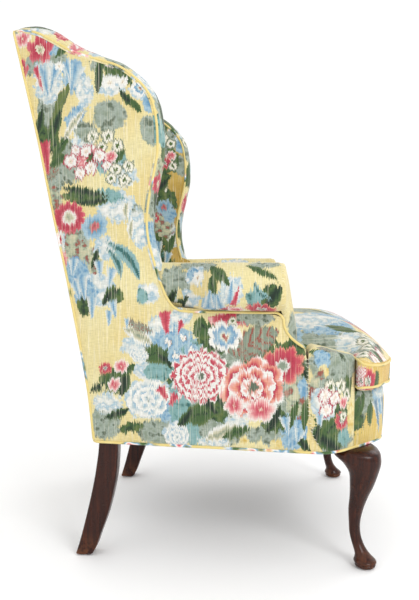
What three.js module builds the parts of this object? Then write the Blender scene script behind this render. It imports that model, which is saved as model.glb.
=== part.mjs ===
// A wing armchair with a loose T-shaped seat cushion, as a scene graph of its separate pieces.
// Millimetres, +Z up. The front faces -Y and the sitter's left is +X. The origin is on the floor,
// under the middle of the chair. Every paired piece is made once for the left and mirrored in X.
import * as THREE from 'three';

// Driving dimensions
const HEIGHT = 1168;            // floor to the top of the crest
const HALF_DEPTH = 424;         // the origin to the cushion front, and to the top of the back
const ROLL = { x: 334, z: 612, radius: 51, front: -156, rear: 84 };  // the arm's rolled top
const BASE_Z = 265;             // lower edge of the cover
const DECK_Z = 386;             // top of the sprung seat under the cushion
const CUSHION_TOP = 535;        // highest point of the cushion's crown
const GAP = 0.4;                // clearance between pieces that touch
const SKIN = 4;                 // thickness of cover and wadding on the outside
const WING = 64;                // thickness of a wing, welt to welt
const WOOD = 28;                // usual thickness of the frame's timber
const RAIL = { bottom: 276, top: 350 };  // seat rails
const GLIDE = { radius: 11, height: 3 };
const FRONT_FOOT = { x: 296, y: -341 };
const REAR_FOOT = { x: 264, y: 284 };

const SIDES = { left: 1, right: -1 };

// Finishes
const FINISHES = {
  cover: { color: 0xd9cf9a, roughness: 0.8, metalness: 0 },
  mahogany: { color: 0x3f1a10, roughness: 0.35, metalness: 0 },
  frameWood: { color: 0xb98f5c, roughness: 0.75, metalness: 0 },
  steel: { color: 0x8b8d90, roughness: 0.4, metalness: 1 },
  jute: { color: 0xa88f62, roughness: 0.95, metalness: 0 },
  dustCloth: { color: 0x1d1d1f, roughness: 0.95, metalness: 0 },
  nickel: { color: 0xb9b9b5, roughness: 0.3, metalness: 1 },
};

const chair = new THREE.Group();

function add(name, finish, geometry) {
  const mesh = new THREE.Mesh(geometry, new THREE.MeshStandardMaterial(FINISHES[finish]));
  mesh.name = name;
  chair.add(mesh);
  return mesh;
}

// A smooth function of one number that passes through the given [at, value] pairs.
function through(...stops) {
  const last = stops.length - 1;
  return (at) => {
    let i = 0;
    while (i < last - 1 && at > stops[i + 1][0]) i += 1;
    const before = stops[Math.max(i - 1, 0)];
    const [from, start] = stops[i];
    const [to, end] = stops[i + 1];
    const after = stops[Math.min(i + 2, last)];
    const s = THREE.MathUtils.clamp((at - from) / (to - from), 0, 1);
    const leave = ((end - before[1]) / (to - before[0])) * (to - from);
    const arrive = ((after[1] - start) / (after[0] - from)) * (to - from);
    const s2 = s * s;
    const s3 = s2 * s;
    return (2 * s3 - 3 * s2 + 1) * start + (s3 - 2 * s2 + s) * leave
      + (3 * s2 - 2 * s3) * end + (s3 - s2) * arrive;
  };
}

// Evenly spaced numbers, both ends included.
function steps(from, to, count) {
  return Array.from({ length: count + 1 }, (_, i) => THREE.MathUtils.lerp(from, to, i / count));
}

// A closed body from shared points and triangles, turned so that its faces point out.
function closedBody(points, triangles) {
  let volume = 0;
  for (const [a, b, c] of triangles) {
    volume += points[a].dot(new THREE.Vector3().crossVectors(points[b], points[c]));
  }
  const index = triangles.flatMap(([a, b, c]) => (volume > 0 ? [a, b, c] : [a, c, b]));
  const geometry = new THREE.BufferGeometry().setFromPoints(points);
  geometry.setIndex(index);
  geometry.computeVertexNormals();
  return geometry;
}

// A body lofted through closed rings of equal point count, with a fan closing each end.
function loft(rings) {
  const size = rings[0].length;
  const points = rings.flat();
  const triangles = [];
  for (let r = 0; r < rings.length - 1; r += 1) {
    for (let i = 0; i < size; i += 1) {
      const a = r * size + i;
      const b = r * size + ((i + 1) % size);
      triangles.push([a, b, b + size], [a, b + size, a + size]);
    }
  }
  const closeEnd = (ring, start, outward) => {
    const middle = new THREE.Vector3();
    ring.forEach((p) => middle.addScaledVector(p, 1 / size));
    const tip = points.push(middle) - 1;
    for (let i = 0; i < size; i += 1) {
      const a = start + i;
      const b = start + ((i + 1) % size);
      triangles.push(outward ? [a, b, tip] : [b, a, tip]);
    }
  };
  closeEnd(rings[0], 0, false);
  closeEnd(rings[rings.length - 1], (rings.length - 1) * size, true);
  return closedBody(points, triangles);
}

// A padded sheet: two grids of points, its face and its back, joined all round their edges.
function sheet(face, back) {
  const rows = face.length;
  const columns = face[0].length;
  const points = [...face.flat(), ...back.flat()];
  const at = (layer, r, c) => layer * rows * columns + r * columns + c;
  const triangles = [];
  const quad = (a, b, c, d) => triangles.push([a, b, c], [a, c, d]);
  for (let r = 0; r < rows - 1; r += 1) {
    for (let c = 0; c < columns - 1; c += 1) {
      quad(at(0, r, c), at(0, r, c + 1), at(0, r + 1, c + 1), at(0, r + 1, c));
      quad(at(1, r, c), at(1, r + 1, c), at(1, r + 1, c + 1), at(1, r, c + 1));
    }
  }
  for (let c = 0; c < columns - 1; c += 1) {
    quad(at(1, 0, c), at(1, 0, c + 1), at(0, 0, c + 1), at(0, 0, c));
    quad(at(0, rows - 1, c), at(0, rows - 1, c + 1), at(1, rows - 1, c + 1), at(1, rows - 1, c));
  }
  for (let r = 0; r < rows - 1; r += 1) {
    quad(at(0, r, 0), at(0, r + 1, 0), at(1, r + 1, 0), at(1, r, 0));
    quad(at(0, r + 1, columns - 1), at(0, r, columns - 1), at(1, r, columns - 1), at(1, r + 1, columns - 1));
  }
  return closedBody(points, triangles);
}

// A level ring round a centre. Power 2 is an ellipse, and a higher power is squarer.
function levelRing(x, y, z, halfX, halfY, power, count) {
  return Array.from({ length: count }, (_, i) => {
    const turn = (i / count) * 2 * Math.PI;
    const round = (v) => Math.sign(v) * Math.abs(v) ** (2 / power);
    return new THREE.Vector3(x + halfX * round(Math.cos(turn)), y + halfY * round(Math.sin(turn)), z);
  });
}

// A level four-cornered ring.
function levelBox(side, xIn, xOut, yFront, yRear, z) {
  return [[xIn, yFront], [xOut, yFront], [xOut, yRear], [xIn, yRear]]
    .map(([x, y]) => new THREE.Vector3(side * x, y, z));
}

// An upright plate cut to a plan outline of [x, y] points.
function plateFromPlan(side, plan, bottom, top) {
  return loft([bottom, top].map((z) => plan.map(([x, y]) => new THREE.Vector3(side * x, y, z))));
}

// The chair's outer form
const rearY = through([BASE_Z, 256], [386, 269], [604, 309], [753, 341], [946, 378], [1158, HALF_DEPTH]);

// How far out the outer side stands. The base tapers to the back and the wings splay to the front.
function sideX(y, z) {
  const base = 289 + 0.112 * (254 - y);
  const wing = 272 + 0.2 * (rearY(z) - y);
  return THREE.MathUtils.lerp(base, wing, THREE.MathUtils.smoothstep(z, 480, 820));
}

// The front edge of the outer side panel, from the base up past the arm and round the wing.
const panelFrontY = through(
  [BASE_Z, -244], [310, -218], [403, -210], [481, -202], [503, -175], [525, -160], [552, -155],
  [566, 74], [590, 91], [640, 109], [734, 130], [837, 116], [899, 105], [957, 108], [997, 116],
  [1036, 144], [1063, 174], [1082, 220], [1110, 296], [1150, 372], [1158, 408],
);

// Plan of the front border from the middle of the seat to the corner post.
const BORDER_PLAN = [[0, -405], [100, -401], [200, -389], [232, -375], [281, -330], [298, -309]];
const borderY = through(...BORDER_PLAN);

// How far out the corner post stands, from its rear seam forward.
const postX = through([-312, 296], [-300, 307], [-284, 322], [-262, 336], [-237, 344], [-210, 341.5]);

// The inside back, up the front and over the crest: [y, z] of its face.
const BACK_FACE = [
  [170, 395], [180, 480], [192, 560], [214, 680], [240, 800], [268, 920], [300, 1040], [318, 1100],
  [328, 1138], [350, 1160], [380, HEIGHT], [404, 1162], [415, 1150],
];

function frontLegs(side, label) {
  const SECTIONS = 16;
  // Each station: height, centre in Y, half size and squareness. The leg curves along the diagonal.
  const stations = [
    [GLIDE.height + GAP, -341, 22, 2], [8, -341, 24, 2], [16, -340, 22, 2], [24, -337, 18, 2],
    [34, -332, 15, 2], [48, -326, 12.5, 2], [68, -321, 12, 2], [92, -320, 12.5, 2], [122, -322, 16, 2.1],
    [151, -327, 19.5, 2.2], [178, -332, 25, 2.3], [207, -335, 31, 2.4], [230, -331, 41, 2.5],
    [248, -321, 51, 2.7], [BASE_Z - 3, -318, 52, 2.8],
  ];
  const diagonal = (y) => side * (FRONT_FOOT.x + FRONT_FOOT.y - y);
  const rings = stations.map(([z, y, half, power]) => (
    levelRing(diagonal(y), y, z, half, half, power, SECTIONS)));
  // Above the knee the same timber is a block between the rails, and then the low corner post.
  const block = { x: 282, y: -276, half: 22 };
  const post = { x: 294, y: -260, halfX: 14, halfY: 26 };
  for (const z of [BASE_Z - 2, RAIL.top]) {
    rings.push(levelRing(side * block.x, block.y, z, block.half, block.half, 5, SECTIONS));
  }
  for (const z of [RAIL.top + 1, 456]) {
    rings.push(levelRing(side * post.x, post.y, z, post.halfX, post.halfY, 5, SECTIONS));
  }
  add(`front_leg_${label}`, 'mahogany', loft(rings));
}

function rearPosts(side, label) {
  // Each station: height, front face, rear face, inner face and outer face.
  const stations = [
    [GLIDE.height + GAP, 264, 302, 244, 284], [22, 254, 296, 244, 284], [45, 246, 289, 244, 284],
    [95, 228, 276, 244, 284], [150, 214, 263, 244, 284], [196, 206, 255, 244, 284],
    [262, 203, 246, 244, 284], [350, 212, 250, 242, 278], [450, 226, 266, 236, 272],
    [604, 263, 294, 228, 262], [753, 296, 326, 226, 260], [946, 334, 363, 226, 260],
    [1110, 366, 395, 226, 260],
  ];
  const rings = stations.map(([z, front, rear, xIn, xOut]) => levelBox(side, xIn, xOut, front, rear, z));
  add(`rear_post_${label}`, 'mahogany', loft(rings));
}

function footGlides(side, label) {
  for (const [place, foot] of Object.entries({ front: FRONT_FOOT, rear: REAR_FOOT })) {
    const disc = new THREE.CylinderGeometry(GLIDE.radius, GLIDE.radius, GLIDE.height, 20);
    disc.rotateX(Math.PI / 2);
    const mesh = add(`foot_glide_${place}_${label}`, 'nickel', disc);
    mesh.position.set(side * foot.x, foot.y, GLIDE.height / 2);
  }
}

// Inner and outer faces of a side rail, which runs from the leg block back to the rear post.
const RAIL_FRONT_Y = -252;
const RAIL_REAR_Y = 203 - GAP;
const railOuterX = (y) => THREE.MathUtils.mapLinear(y, RAIL_FRONT_Y, RAIL_REAR_Y, 318, 276);
const railInnerX = (y) => railOuterX(y) - WOOD;
const frontRailBackY = (x) => -336 + 45 * (x / 259) ** 2;

function seatFrame() {
  const xEnd = 259;
  const xs = steps(-xEnd, xEnd, 12);
  const padding = 14;
  const frontPlan = xs.map((x) => [x, borderY(Math.abs(x)) + padding]);
  const backPlan = xs.map((x) => [x, frontRailBackY(x)]).reverse();
  const strips = (plan, z) => plan.map(([x, y]) => new THREE.Vector3(x, y, z));
  add('front_rail', 'frameWood', sheet(
    [strips(frontPlan, RAIL.bottom), strips(frontPlan, RAIL.top)],
    [strips([...backPlan].reverse(), RAIL.bottom), strips([...backPlan].reverse(), RAIL.top)],
  ));
  const rearRail = [[-241, 212], [241, 212], [241, 240], [-241, 240]];
  add('rear_rail', 'frameWood', plateFromPlan(1, rearRail, RAIL.bottom, RAIL.top));
  for (const [label, side] of Object.entries(SIDES)) {
    const plan = [
      [railInnerX(RAIL_FRONT_Y), RAIL_FRONT_Y], [railOuterX(RAIL_FRONT_Y), RAIL_FRONT_Y],
      [railOuterX(RAIL_REAR_Y), RAIL_REAR_Y], [railInnerX(RAIL_REAR_Y), RAIL_REAR_Y],
    ];
    add(`side_rail_${label}`, 'frameWood', plateFromPlan(side, plan, RAIL.bottom, RAIL.top));
    const blockZ = { bottom: 290, top: 340 };
    const front = [
      [175, frontRailBackY(175) + GAP], [207, frontRailBackY(207) + GAP],
      [railInnerX(-222) - GAP, -222], [railInnerX(-190) - GAP, -190],
    ];
    const rear = [
      [168, 212 - GAP], [202, 212 - GAP], [railInnerX(150) - GAP, 150], [railInnerX(116) - GAP, 116],
    ];
    add(`corner_block_front_${label}`, 'frameWood', plateFromPlan(side, front, blockZ.bottom, blockZ.top));
    add(`corner_block_rear_${label}`, 'frameWood', plateFromPlan(side, rear, blockZ.bottom, blockZ.top));
  }
}

function backFrame() {
  const half = 226 - GAP;
  const crest = [[365, 1052], [393, 1060], [393, 1112], [367, 1112]];
  const lower = [[230, 402], [252, 402], [258, 446], [234, 446]];
  for (const [name, section] of Object.entries({ crest_rail: crest, lower_back_rail: lower })) {
    add(name, 'frameWood', loft([-half, half].map((x) => section.map(([y, z]) => new THREE.Vector3(x, y, z)))));
  }
}

function armFrame(side, label) {
  // The stump stands on the side rail and spreads outward to carry the rolled top.
  const stump = [[RAIL.top + GAP, 288, 316], [440, 290, 320], [520, 296, 322], [584, 308, 324]];
  add(`arm_stump_${label}`, 'frameWood', loft(
    stump.map(([z, xIn, xOut]) => levelBox(side, xIn, xOut, -146, -104, z))));
  const arm = { x: ROLL.x, z: ROLL.z, half: 18 };
  const ends = [ROLL.front + 10, ROLL.rear - 2];
  const corners = [[-1, -1], [1, -1], [1, 1], [-1, 1]];
  add(`arm_rail_${label}`, 'frameWood', loft(ends.map((y) => corners.map(([i, k]) => (
    new THREE.Vector3(side * (arm.x + i * arm.half), y, arm.z + k * arm.half))))));
}

function wingFrame(side, label) {
  // The upright stands at the wing's front edge, between its outer cover and its inner pad.
  const upright = [604, 670, 740, 820, 900, 960, 1000].map((z) => {
    const front = panelFrontY(z) + 17;
    const outer = sideX(front, z) - 10;
    return levelBox(side, outer - 24, outer, front, front + WOOD, z);
  });
  add(`wing_upright_${label}`, 'frameWood', loft(upright));
  // The top rail bends from the upright back to the rear post: centre, then half depth along [y, z].
  const path = [
    [147, 1000.5, 14, 0], [176, 1028, 9, -9], [215, 1050, 5, -12], [270, 1072, 4, -13], [340, 1104, 4, -13],
  ];
  const bend = path.map(([y, z, alongY, alongZ]) => {
    const outer = sideX(y, z) - 10;
    const lower = [y + alongY, z + alongZ];
    const upper = [y - alongY, z - alongZ];
    return [[outer - 24, lower], [outer, lower], [outer, upper], [outer - 24, upper]]
      .map(([x, [py, pz]]) => new THREE.Vector3(side * x, py, pz));
  });
  add(`wing_top_rail_${label}`, 'frameWood', loft(bend));
}

function webbing() {
  const strap = { width: 52, thick: 1.6 };
  const lengthwiseZ = 269;
  const crosswiseZ = lengthwiseZ + strap.thick + GAP;
  const rows = { front: -222, middle: -84, rear: 54 };
  const columns = { left: 140, centre: 0, right: -140 };
  for (const [label, x] of Object.entries(columns)) {
    const plan = [
      [x - strap.width / 2, -362], [x + strap.width / 2, -362],
      [x + strap.width / 2, 236], [x - strap.width / 2, 236],
    ];
    add(`webbing_lengthwise_${label}`, 'jute', plateFromPlan(1, plan, lengthwiseZ, lengthwiseZ + strap.thick));
  }
  for (const [label, y] of Object.entries(rows)) {
    const reach = railInnerX(y) + 20;
    const plan = [
      [-reach, y - strap.width / 2], [reach, y - strap.width / 2],
      [reach, y + strap.width / 2], [-reach, y + strap.width / 2],
    ];
    add(`webbing_crosswise_${label}`, 'jute', plateFromPlan(1, plan, crosswiseZ, crosswiseZ + strap.thick));
    for (const [column, x] of Object.entries(columns)) coilSpring(`seat_spring_${label}_${column}`, x, y);
  }
}

// An hourglass seat spring, as a steel wire wound on a waisted helix.
function coilSpring(name, x, y) {
  const wire = 2.2;
  const turns = 3.5;
  const bottom = 277;
  const top = 355;
  const curve = new THREE.CatmullRomCurve3(steps(0, 1, 32).map((t) => {
    const radius = 25 + 32 * (t - 0.5) ** 2 * 4 * 0.35;
    const turn = t * turns * 2 * Math.PI;
    return new THREE.Vector3(
      x + radius * Math.cos(turn),
      y + radius * Math.sin(turn),
      THREE.MathUtils.lerp(bottom, top, t),
    );
  }));
  const section = new THREE.Shape();
  const SECTION_SIDES = 5;
  for (let i = 0; i < SECTION_SIDES; i += 1) {
    const turn = (i / SECTION_SIDES) * 2 * Math.PI;
    const point = [wire * Math.cos(turn), wire * Math.sin(turn)];
    if (i === 0) section.moveTo(...point);
    else section.lineTo(...point);
  }
  section.closePath();
  add(name, 'steel', new THREE.ExtrudeGeometry(section, { steps: 32, extrudePath: curve, curveSegments: 1 }));
}

// The sprung seat's stuffed top, under the cushion.
function seatDeck() {
  const rows = steps(-366, 158, 9).map((y) => {
    const half = y < -300 ? THREE.MathUtils.mapLinear(y, -366, -300, 205, 240) : 246 - 0.06 * (y + 300);
    return steps(-half, half, 8).map((x) => [x, y]);
  });
  const level = (z) => rows.map((row) => row.map(([x, y]) => new THREE.Vector3(x, y, z)));
  add('seat_deck', 'cover', sheet(level(DECK_Z), level(362)));
}

function frontBorder() {
  const end = 294;
  const xs = [...steps(-end, -200, 5), ...steps(-150, 150, 6), ...steps(200, end, 5)];
  const settle = (x) => 1 - (Math.abs(x) / end) ** 6;
  // From the lower edge up the bowed front, then over the top edge towards the deck.
  const rise = [[BASE_Z, 0], [290, -1], [330, -2], [366, -1], [380, 4], [DECK_Z - 1, 15]];
  const face = rise.map(([z, set]) => xs.map((x) => new THREE.Vector3(x, borderY(Math.abs(x)) + set * settle(x), z)));
  const back = rise.map(([z, set]) => xs.map((x) => {
    const inward = 5;
    return new THREE.Vector3(
      x - Math.sign(x) * inward * Math.min(1, (Math.abs(x) / 250) ** 4),
      borderY(Math.abs(x)) + set * settle(x) + inward,
      z - (z > 376 ? inward : 0),
    );
  }));
  add('front_border', 'cover', sheet(face, back));
}

// The cover of the low corner post in front of each arm, drawn over it from outside to inside.
function cornerPost(side, label) {
  const frontY = -303;
  const rearSeamY = -211;
  const innerX = 264;
  const lap = (inset) => steps(0, 1, 5).map((t) => {
    const y = THREE.MathUtils.lerp(frontY, rearSeamY, t);
    const inner = innerX + inset;
    const topZ = 486 + 0.18 * (y - rearSeamY) - inset;
    const middle = (postX(y) + inner) / 2;
    const seamY = (z) => THREE.MathUtils.lerp(frontY, Math.min(rearSeamY, panelFrontY(z) - 1), t);
    // Up the outer side: how far in from the post's outer face, and height.
    const outside = [[0, BASE_Z + 1], [0, 330], [0, 410], [3, topZ - 18], [12, topZ - 4]].map(([set, z]) => (
      new THREE.Vector3(side * (postX(seamY(z)) - inset - set), seamY(z), z)));
    const over = [[middle, topZ], [inner + 10, topZ - 4], [inner, topZ - 16], [inner, DECK_Z + 10]].map(
      ([x, z]) => new THREE.Vector3(side * x, y, z));
    return [...outside, ...over];
  });
  add(`corner_post_cover_${label}`, 'cover', sheet(lap(0), lap(6)));
}

function outsidePanel(side, label) {
  const heights = [
    BASE_Z, 290, 330, 403, 470, 492, 512, 535, 552, 566, 590, 640, 690, 734, 785, 837, 899, 957, 997,
    1036, 1063, 1082, 1110, 1150, 1157,
  ];
  const grid = (inset) => heights.map((z) => steps(panelFrontY(z), rearY(z), 4).map((y) => (
    new THREE.Vector3(side * (sideX(y, z) - inset), y, z))));
  add(`outside_panel_${label}`, 'cover', sheet(grid(0), grid(SKIN)));
}

function wingBoxing(side, label) {
  // Stations up the wing's edge, then the outward direction there in Y and Z.
  const heights = [672, 734, 785, 837, 899, 957, 997, 1036, 1063, 1082, 1110, 1150, 1157];
  const edge = heights.map((z) => new THREE.Vector2(panelFrontY(z), z));
  const CROWN = 12;
  const grid = (inset) => edge.map((point, i) => {
    const before = edge[Math.max(i - 1, 0)];
    const after = edge[Math.min(i + 1, edge.length - 1)];
    const along = after.clone().sub(before).normalize();
    const out = new THREE.Vector2(-along.y, along.x);
    return steps(0, 1, 4).map((t) => {
      const rise = CROWN * Math.sin(t * Math.PI) - inset;
      const y = point.x + out.x * rise;
      const z = point.y + out.y * rise;
      const outer = sideX(y, z) - SKIN - 4 * GAP;
      return new THREE.Vector3(side * (outer - t * (WING - SKIN)), y, z);
    });
  });
  add(`wing_boxing_${label}`, 'cover', sheet(grid(0), grid(6)));
}

function insideWing(side, label) {
  const faceY = through(...BACK_FACE.map(([y, z]) => [z, y]).slice(0, 10));
  const heights = [396, 480, 560, 655, 669, 700, 740, 785, 837, 899, 957, 997, 1028, 1052];
  const grid = (depth) => heights.map((z) => {
    const front = z < 660 ? ROLL.rear + 2 : panelFrontY(z) + 12;
    const rear = Math.max(faceY(z) + 14, front + 20);
    return steps(front, rear, 4).map((y) => new THREE.Vector3(side * (sideX(y, z) - WING - 1 + depth), y, z));
  });
  add(`inside_wing_${label}`, 'cover', sheet(grid(0), grid(16)));
}

// The inside arm and its rolled top: up the seat side, over the roll and under its outer lip.
function armPad(side, label) {
  const ys = [ROLL.front, -140, -90, -30, 30, ROLL.rear];
  const section = (radius, thick) => {
    const wall = [[256 + thick, DECK_Z + 10], [259 + thick, 440], [264 + thick, 500], [272 + thick, 552]];
    const arc = steps(190, -72, 9).map((degrees) => {
      const turn = THREE.MathUtils.degToRad(degrees);
      return [ROLL.x + radius * Math.cos(turn), ROLL.z + radius * Math.sin(turn)];
    });
    return [...wall, ...arc];
  };
  const grid = (radius, thick) => ys.map((y) => section(radius, thick).map(([x, z], j) => {
    const taper = j < 4 ? 0.06 * (y - ROLL.front) * (1 - j / 4) : 0;
    return new THREE.Vector3(side * (x - taper), y, z);
  }));
  add(`arm_pad_${label}`, 'cover', sheet(grid(ROLL.radius, 0), grid(ROLL.radius - 20, 20)));
}

// The flat front of an arm: the roll's end with the padded stem below it.
function armFacing(side, label) {
  const outline = steps(200, -70, 12).map((degrees) => {
    const turn = THREE.MathUtils.degToRad(degrees);
    return [ROLL.x + (ROLL.radius - 1) * Math.cos(turn), ROLL.z + (ROLL.radius - 1) * Math.sin(turn)];
  });
  outline.push([330, 553], [329, 500], [322, 492], [270, 492], [266, 500]);
  const leanForward = 0.16;
  const layer = (depth) => outline.map(([x, z]) => (
    new THREE.Vector3(side * x, ROLL.front - GAP - depth - leanForward * (HEIGHT * 0.57 - z), z)));
  add(`arm_facing_${label}`, 'cover', loft([layer(0), layer(8)]));
}

function insideBack() {
  const count = 18;
  const faceCurve = new THREE.SplineCurve(BACK_FACE.map(([y, z]) => new THREE.Vector2(y, z)));
  const face = faceCurve.getPoints(count);
  const inner = face.map((point, i) => {
    const tangent = faceCurve.getTangent(i / count);
    return point.clone().add(new THREE.Vector2(tangent.y, -tangent.x).multiplyScalar(24));
  });
  const grid = (line, crown) => line.map((point) => {
    const half = point.y < 1040 ? 220 : THREE.MathUtils.mapLinear(point.y, 1040, HEIGHT, 220, 207);
    return steps(-1, 1, 8).map((u) => (
      new THREE.Vector3(u * half, point.x - crown * (1 - u * u) * (point.y < 1120 ? 1 : 0), point.y)));
  });
  add('inside_back', 'cover', sheet(grid(face, 12), grid(inner, 0)));
}

function outsideBack() {
  const heights = [BASE_Z, 330, 420, 520, 620, 720, 820, 920, 1020, 1100, 1150];
  const grid = (inset) => heights.map((z) => {
    const half = sideX(rearY(z), z) - SKIN - GAP;
    return steps(-half, half, 6).map((x) => new THREE.Vector3(x, rearY(z) - inset, z));
  });
  add('outside_back', 'cover', sheet(grid(0), grid(5)));
}

function dustCover() {
  const rearHalf = 235;
  const plan = [[-rearHalf, 236], [-280, -236], [-252, -248], [-250, -304], [-190, -362], [0, -380]];
  const mirrored = plan.slice(0, -1).reverse().map(([x, y]) => [-x, y]);
  add('dust_cover', 'dustCloth', plateFromPlan(1, [...plan, ...mirrored], 266, 268));
}

// The loose cushion: T-shaped in plan, with ears in front of the corner posts and a soft crown.
function seatCushion() {
  const halfWidth = through(
    [-HALF_DEPTH, 90], [-418, 168], [-405, 222], [-385, 275], [-370, 300], [-350, 322], [-332, 330], [-318, 326],
  );
  const bodyHalf = (y) => 250 - 0.045 * (y + 310);
  const ys = [-HALF_DEPTH, -418, -405, -385, -368, -350, -332, -318, -311, -250, -150, -50, 50, 120, 152];
  const grid = (isTop) => ys.map((y) => {
    const ear = y < -315;
    const half = ear ? halfWidth(y) : bodyHalf(y);
    const edge = THREE.MathUtils.mapLinear(y, -HALF_DEPTH, -300, 436, 457);
    const bottom = Math.min(DECK_Z + 1, THREE.MathUtils.mapLinear(y, -HALF_DEPTH, -390, 374, DECK_Z + 1));
    const along = Math.sin(Math.PI * THREE.MathUtils.clamp((y + HALF_DEPTH) / 600, 0, 1) ** 0.7);
    return steps(-1, 1, 10).map((u) => {
      const crown = (CUSHION_TOP - edge) * (1 - Math.abs(u) ** 2.6) * along ** 0.6;
      const z = isTop ? Math.min(edge, 458) + Math.max(crown, 0) : bottom;
      return new THREE.Vector3(u * half, y, z);
    });
  });
  add('seat_cushion', 'cover', sheet(grid(true), grid(false)));
}

for (const [label, side] of Object.entries(SIDES)) {
  frontLegs(side, label);
  rearPosts(side, label);
  footGlides(side, label);
  armFrame(side, label);
  wingFrame(side, label);
  cornerPost(side, label);
  outsidePanel(side, label);
  wingBoxing(side, label);
  insideWing(side, label);
  armPad(side, label);
  armFacing(side, label);
}
seatFrame();
backFrame();
webbing();
seatDeck();
frontBorder();
insideBack();
outsideBack();
dustCover();
seatCushion();

export default chair;
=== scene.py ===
import math

import bmesh
import bpy
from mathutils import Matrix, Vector
from mathutils.bvhtree import BVHTree
from mathutils.kdtree import KDTree


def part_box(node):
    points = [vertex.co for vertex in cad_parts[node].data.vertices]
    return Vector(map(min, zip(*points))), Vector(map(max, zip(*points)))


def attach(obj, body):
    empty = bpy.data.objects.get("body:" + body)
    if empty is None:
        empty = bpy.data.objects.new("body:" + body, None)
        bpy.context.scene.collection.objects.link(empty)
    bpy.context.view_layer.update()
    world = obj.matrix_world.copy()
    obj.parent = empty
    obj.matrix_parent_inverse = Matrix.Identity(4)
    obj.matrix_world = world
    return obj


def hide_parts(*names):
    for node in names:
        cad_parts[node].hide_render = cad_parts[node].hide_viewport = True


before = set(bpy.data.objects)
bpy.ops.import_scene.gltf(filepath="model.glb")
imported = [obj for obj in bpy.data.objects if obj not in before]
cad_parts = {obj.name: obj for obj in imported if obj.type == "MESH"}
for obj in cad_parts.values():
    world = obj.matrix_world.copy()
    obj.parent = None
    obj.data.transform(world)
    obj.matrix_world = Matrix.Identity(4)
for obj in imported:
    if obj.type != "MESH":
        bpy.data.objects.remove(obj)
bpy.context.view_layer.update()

# An upholstered wing armchair. Metres, +Z up, the front faces -Y and the sitter's left is +X.

SIDES = {"left": 1, "right": -1}

# Driving sizes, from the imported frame
BASE_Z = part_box("front_border")[0][2]
DECK_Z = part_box("seat_deck")[1][2]
TOP_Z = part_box("inside_back")[1][2]
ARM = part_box("arm_pad_left")

SKIN = 0.004
WING = 0.064
WELT = 0.0027
CORD_END = 0.55
ROLL_RADIUS = 0.051
ROLL_X = ARM[1][0] - ROLL_RADIUS
ROLL_Z = ARM[1][2] - ROLL_RADIUS
ARM_FRONT = ARM[0][1]
ARM_REAR = ARM[1][1]


def lerp(a, b, t):
    return a + (b - a) * t


def clamp(v, low=0.0, high=1.0):
    return max(low, min(high, v))


def smooth(t):
    t = clamp(t)
    return t * t * (3 - 2 * t)


def steps(a, b, count):
    return [lerp(a, b, i / count) for i in range(count + 1)]


def through(*stops):
    """A smooth function of one number through (at, value) pairs."""
    last = len(stops) - 1

    def curve(at):
        i = 0
        while i < last - 1 and at > stops[i + 1][0]:
            i += 1
        before, after = stops[max(i - 1, 0)], stops[min(i + 2, last)]
        (t0, v0), (t1, v1) = stops[i], stops[i + 1]
        s = clamp((at - t0) / (t1 - t0))
        m0 = (v1 - before[1]) / (t1 - before[0]) * (t1 - t0)
        m1 = (after[1] - v0) / (after[0] - t0) * (t1 - t0)
        s2, s3 = s * s, s * s * s
        return (2 * s3 - 3 * s2 + 1) * v0 + (s3 - 2 * s2 + s) * m0 + (3 * s2 - 2 * s3) * v1 + (s3 - s2) * m1

    return curve


def spline(points, count):
    """Points along a smooth curve through the given points, evenly by arc length."""
    pts = [Vector(p) for p in points]
    dense = []
    for i in range(len(pts) - 1):
        p0, p1, p2, p3 = pts[max(i - 1, 0)], pts[i], pts[i + 1], pts[min(i + 2, len(pts) - 1)]
        for k in range(12):
            t = k / 12
            dense.append(0.5 * (2 * p1 + (p2 - p0) * t + (2 * p0 - 5 * p1 + 4 * p2 - p3) * t * t
                                + (3 * p1 - p0 - 3 * p2 + p3) * t ** 3))
    dense.append(pts[-1])
    return resample(dense, count)


def resample(points, count):
    """The same line as count + 1 points, evenly by arc length."""
    lengths = [0.0]
    for a, b in zip(points, points[1:]):
        lengths.append(lengths[-1] + (b - a).length)
    made, i = [], 0
    for target in steps(0, lengths[-1], count):
        while i < len(points) - 2 and lengths[i + 1] < target:
            i += 1
        span = max(lengths[i + 1] - lengths[i], 1e-9)
        made.append(points[i].lerp(points[i + 1], clamp((target - lengths[i]) / span)))
    return made


# The outer form, as in the CAD
rear_y = through(
    (0.265, 0.256), (0.386, 0.269), (0.604, 0.309), (0.753, 0.341), (0.946, 0.378), (1.158, 0.424))
front_y = through(
    (0.265, -0.244), (0.310, -0.218), (0.403, -0.210), (0.481, -0.202), (0.503, -0.175), (0.525, -0.160),
    (0.550, -0.1553), (0.551, -0.1552), (0.552, -0.155), (0.566, 0.074), (0.567, 0.0748), (0.568, 0.0756),
    (0.590, 0.091), (0.640, 0.109), (0.734, 0.130), (0.837, 0.116), (0.899, 0.105), (0.957, 0.108),
    (0.997, 0.116), (1.036, 0.144), (1.063, 0.174), (1.082, 0.220), (1.110, 0.296), (1.150, 0.372),
    (1.158, 0.408))
border_y = through(
    (0, -0.405), (0.100, -0.401), (0.200, -0.389), (0.232, -0.375), (0.281, -0.330), (0.298, -0.309))
post_x = through(
    (-0.312, 0.296), (-0.300, 0.307), (-0.284, 0.322), (-0.262, 0.336), (-0.237, 0.344), (-0.210, 0.3415))
BACK_FACE = [
    (0.170, 0.395), (0.180, 0.480), (0.192, 0.560), (0.214, 0.680), (0.240, 0.800), (0.268, 0.920),
    (0.300, 1.040), (0.318, 1.100), (0.328, 1.138), (0.350, 1.160), (0.380, TOP_Z), (0.404, 1.162),
    (0.415, 1.150)]
back_face_y = through(*[(z, y) for y, z in BACK_FACE[:10]])


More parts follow.
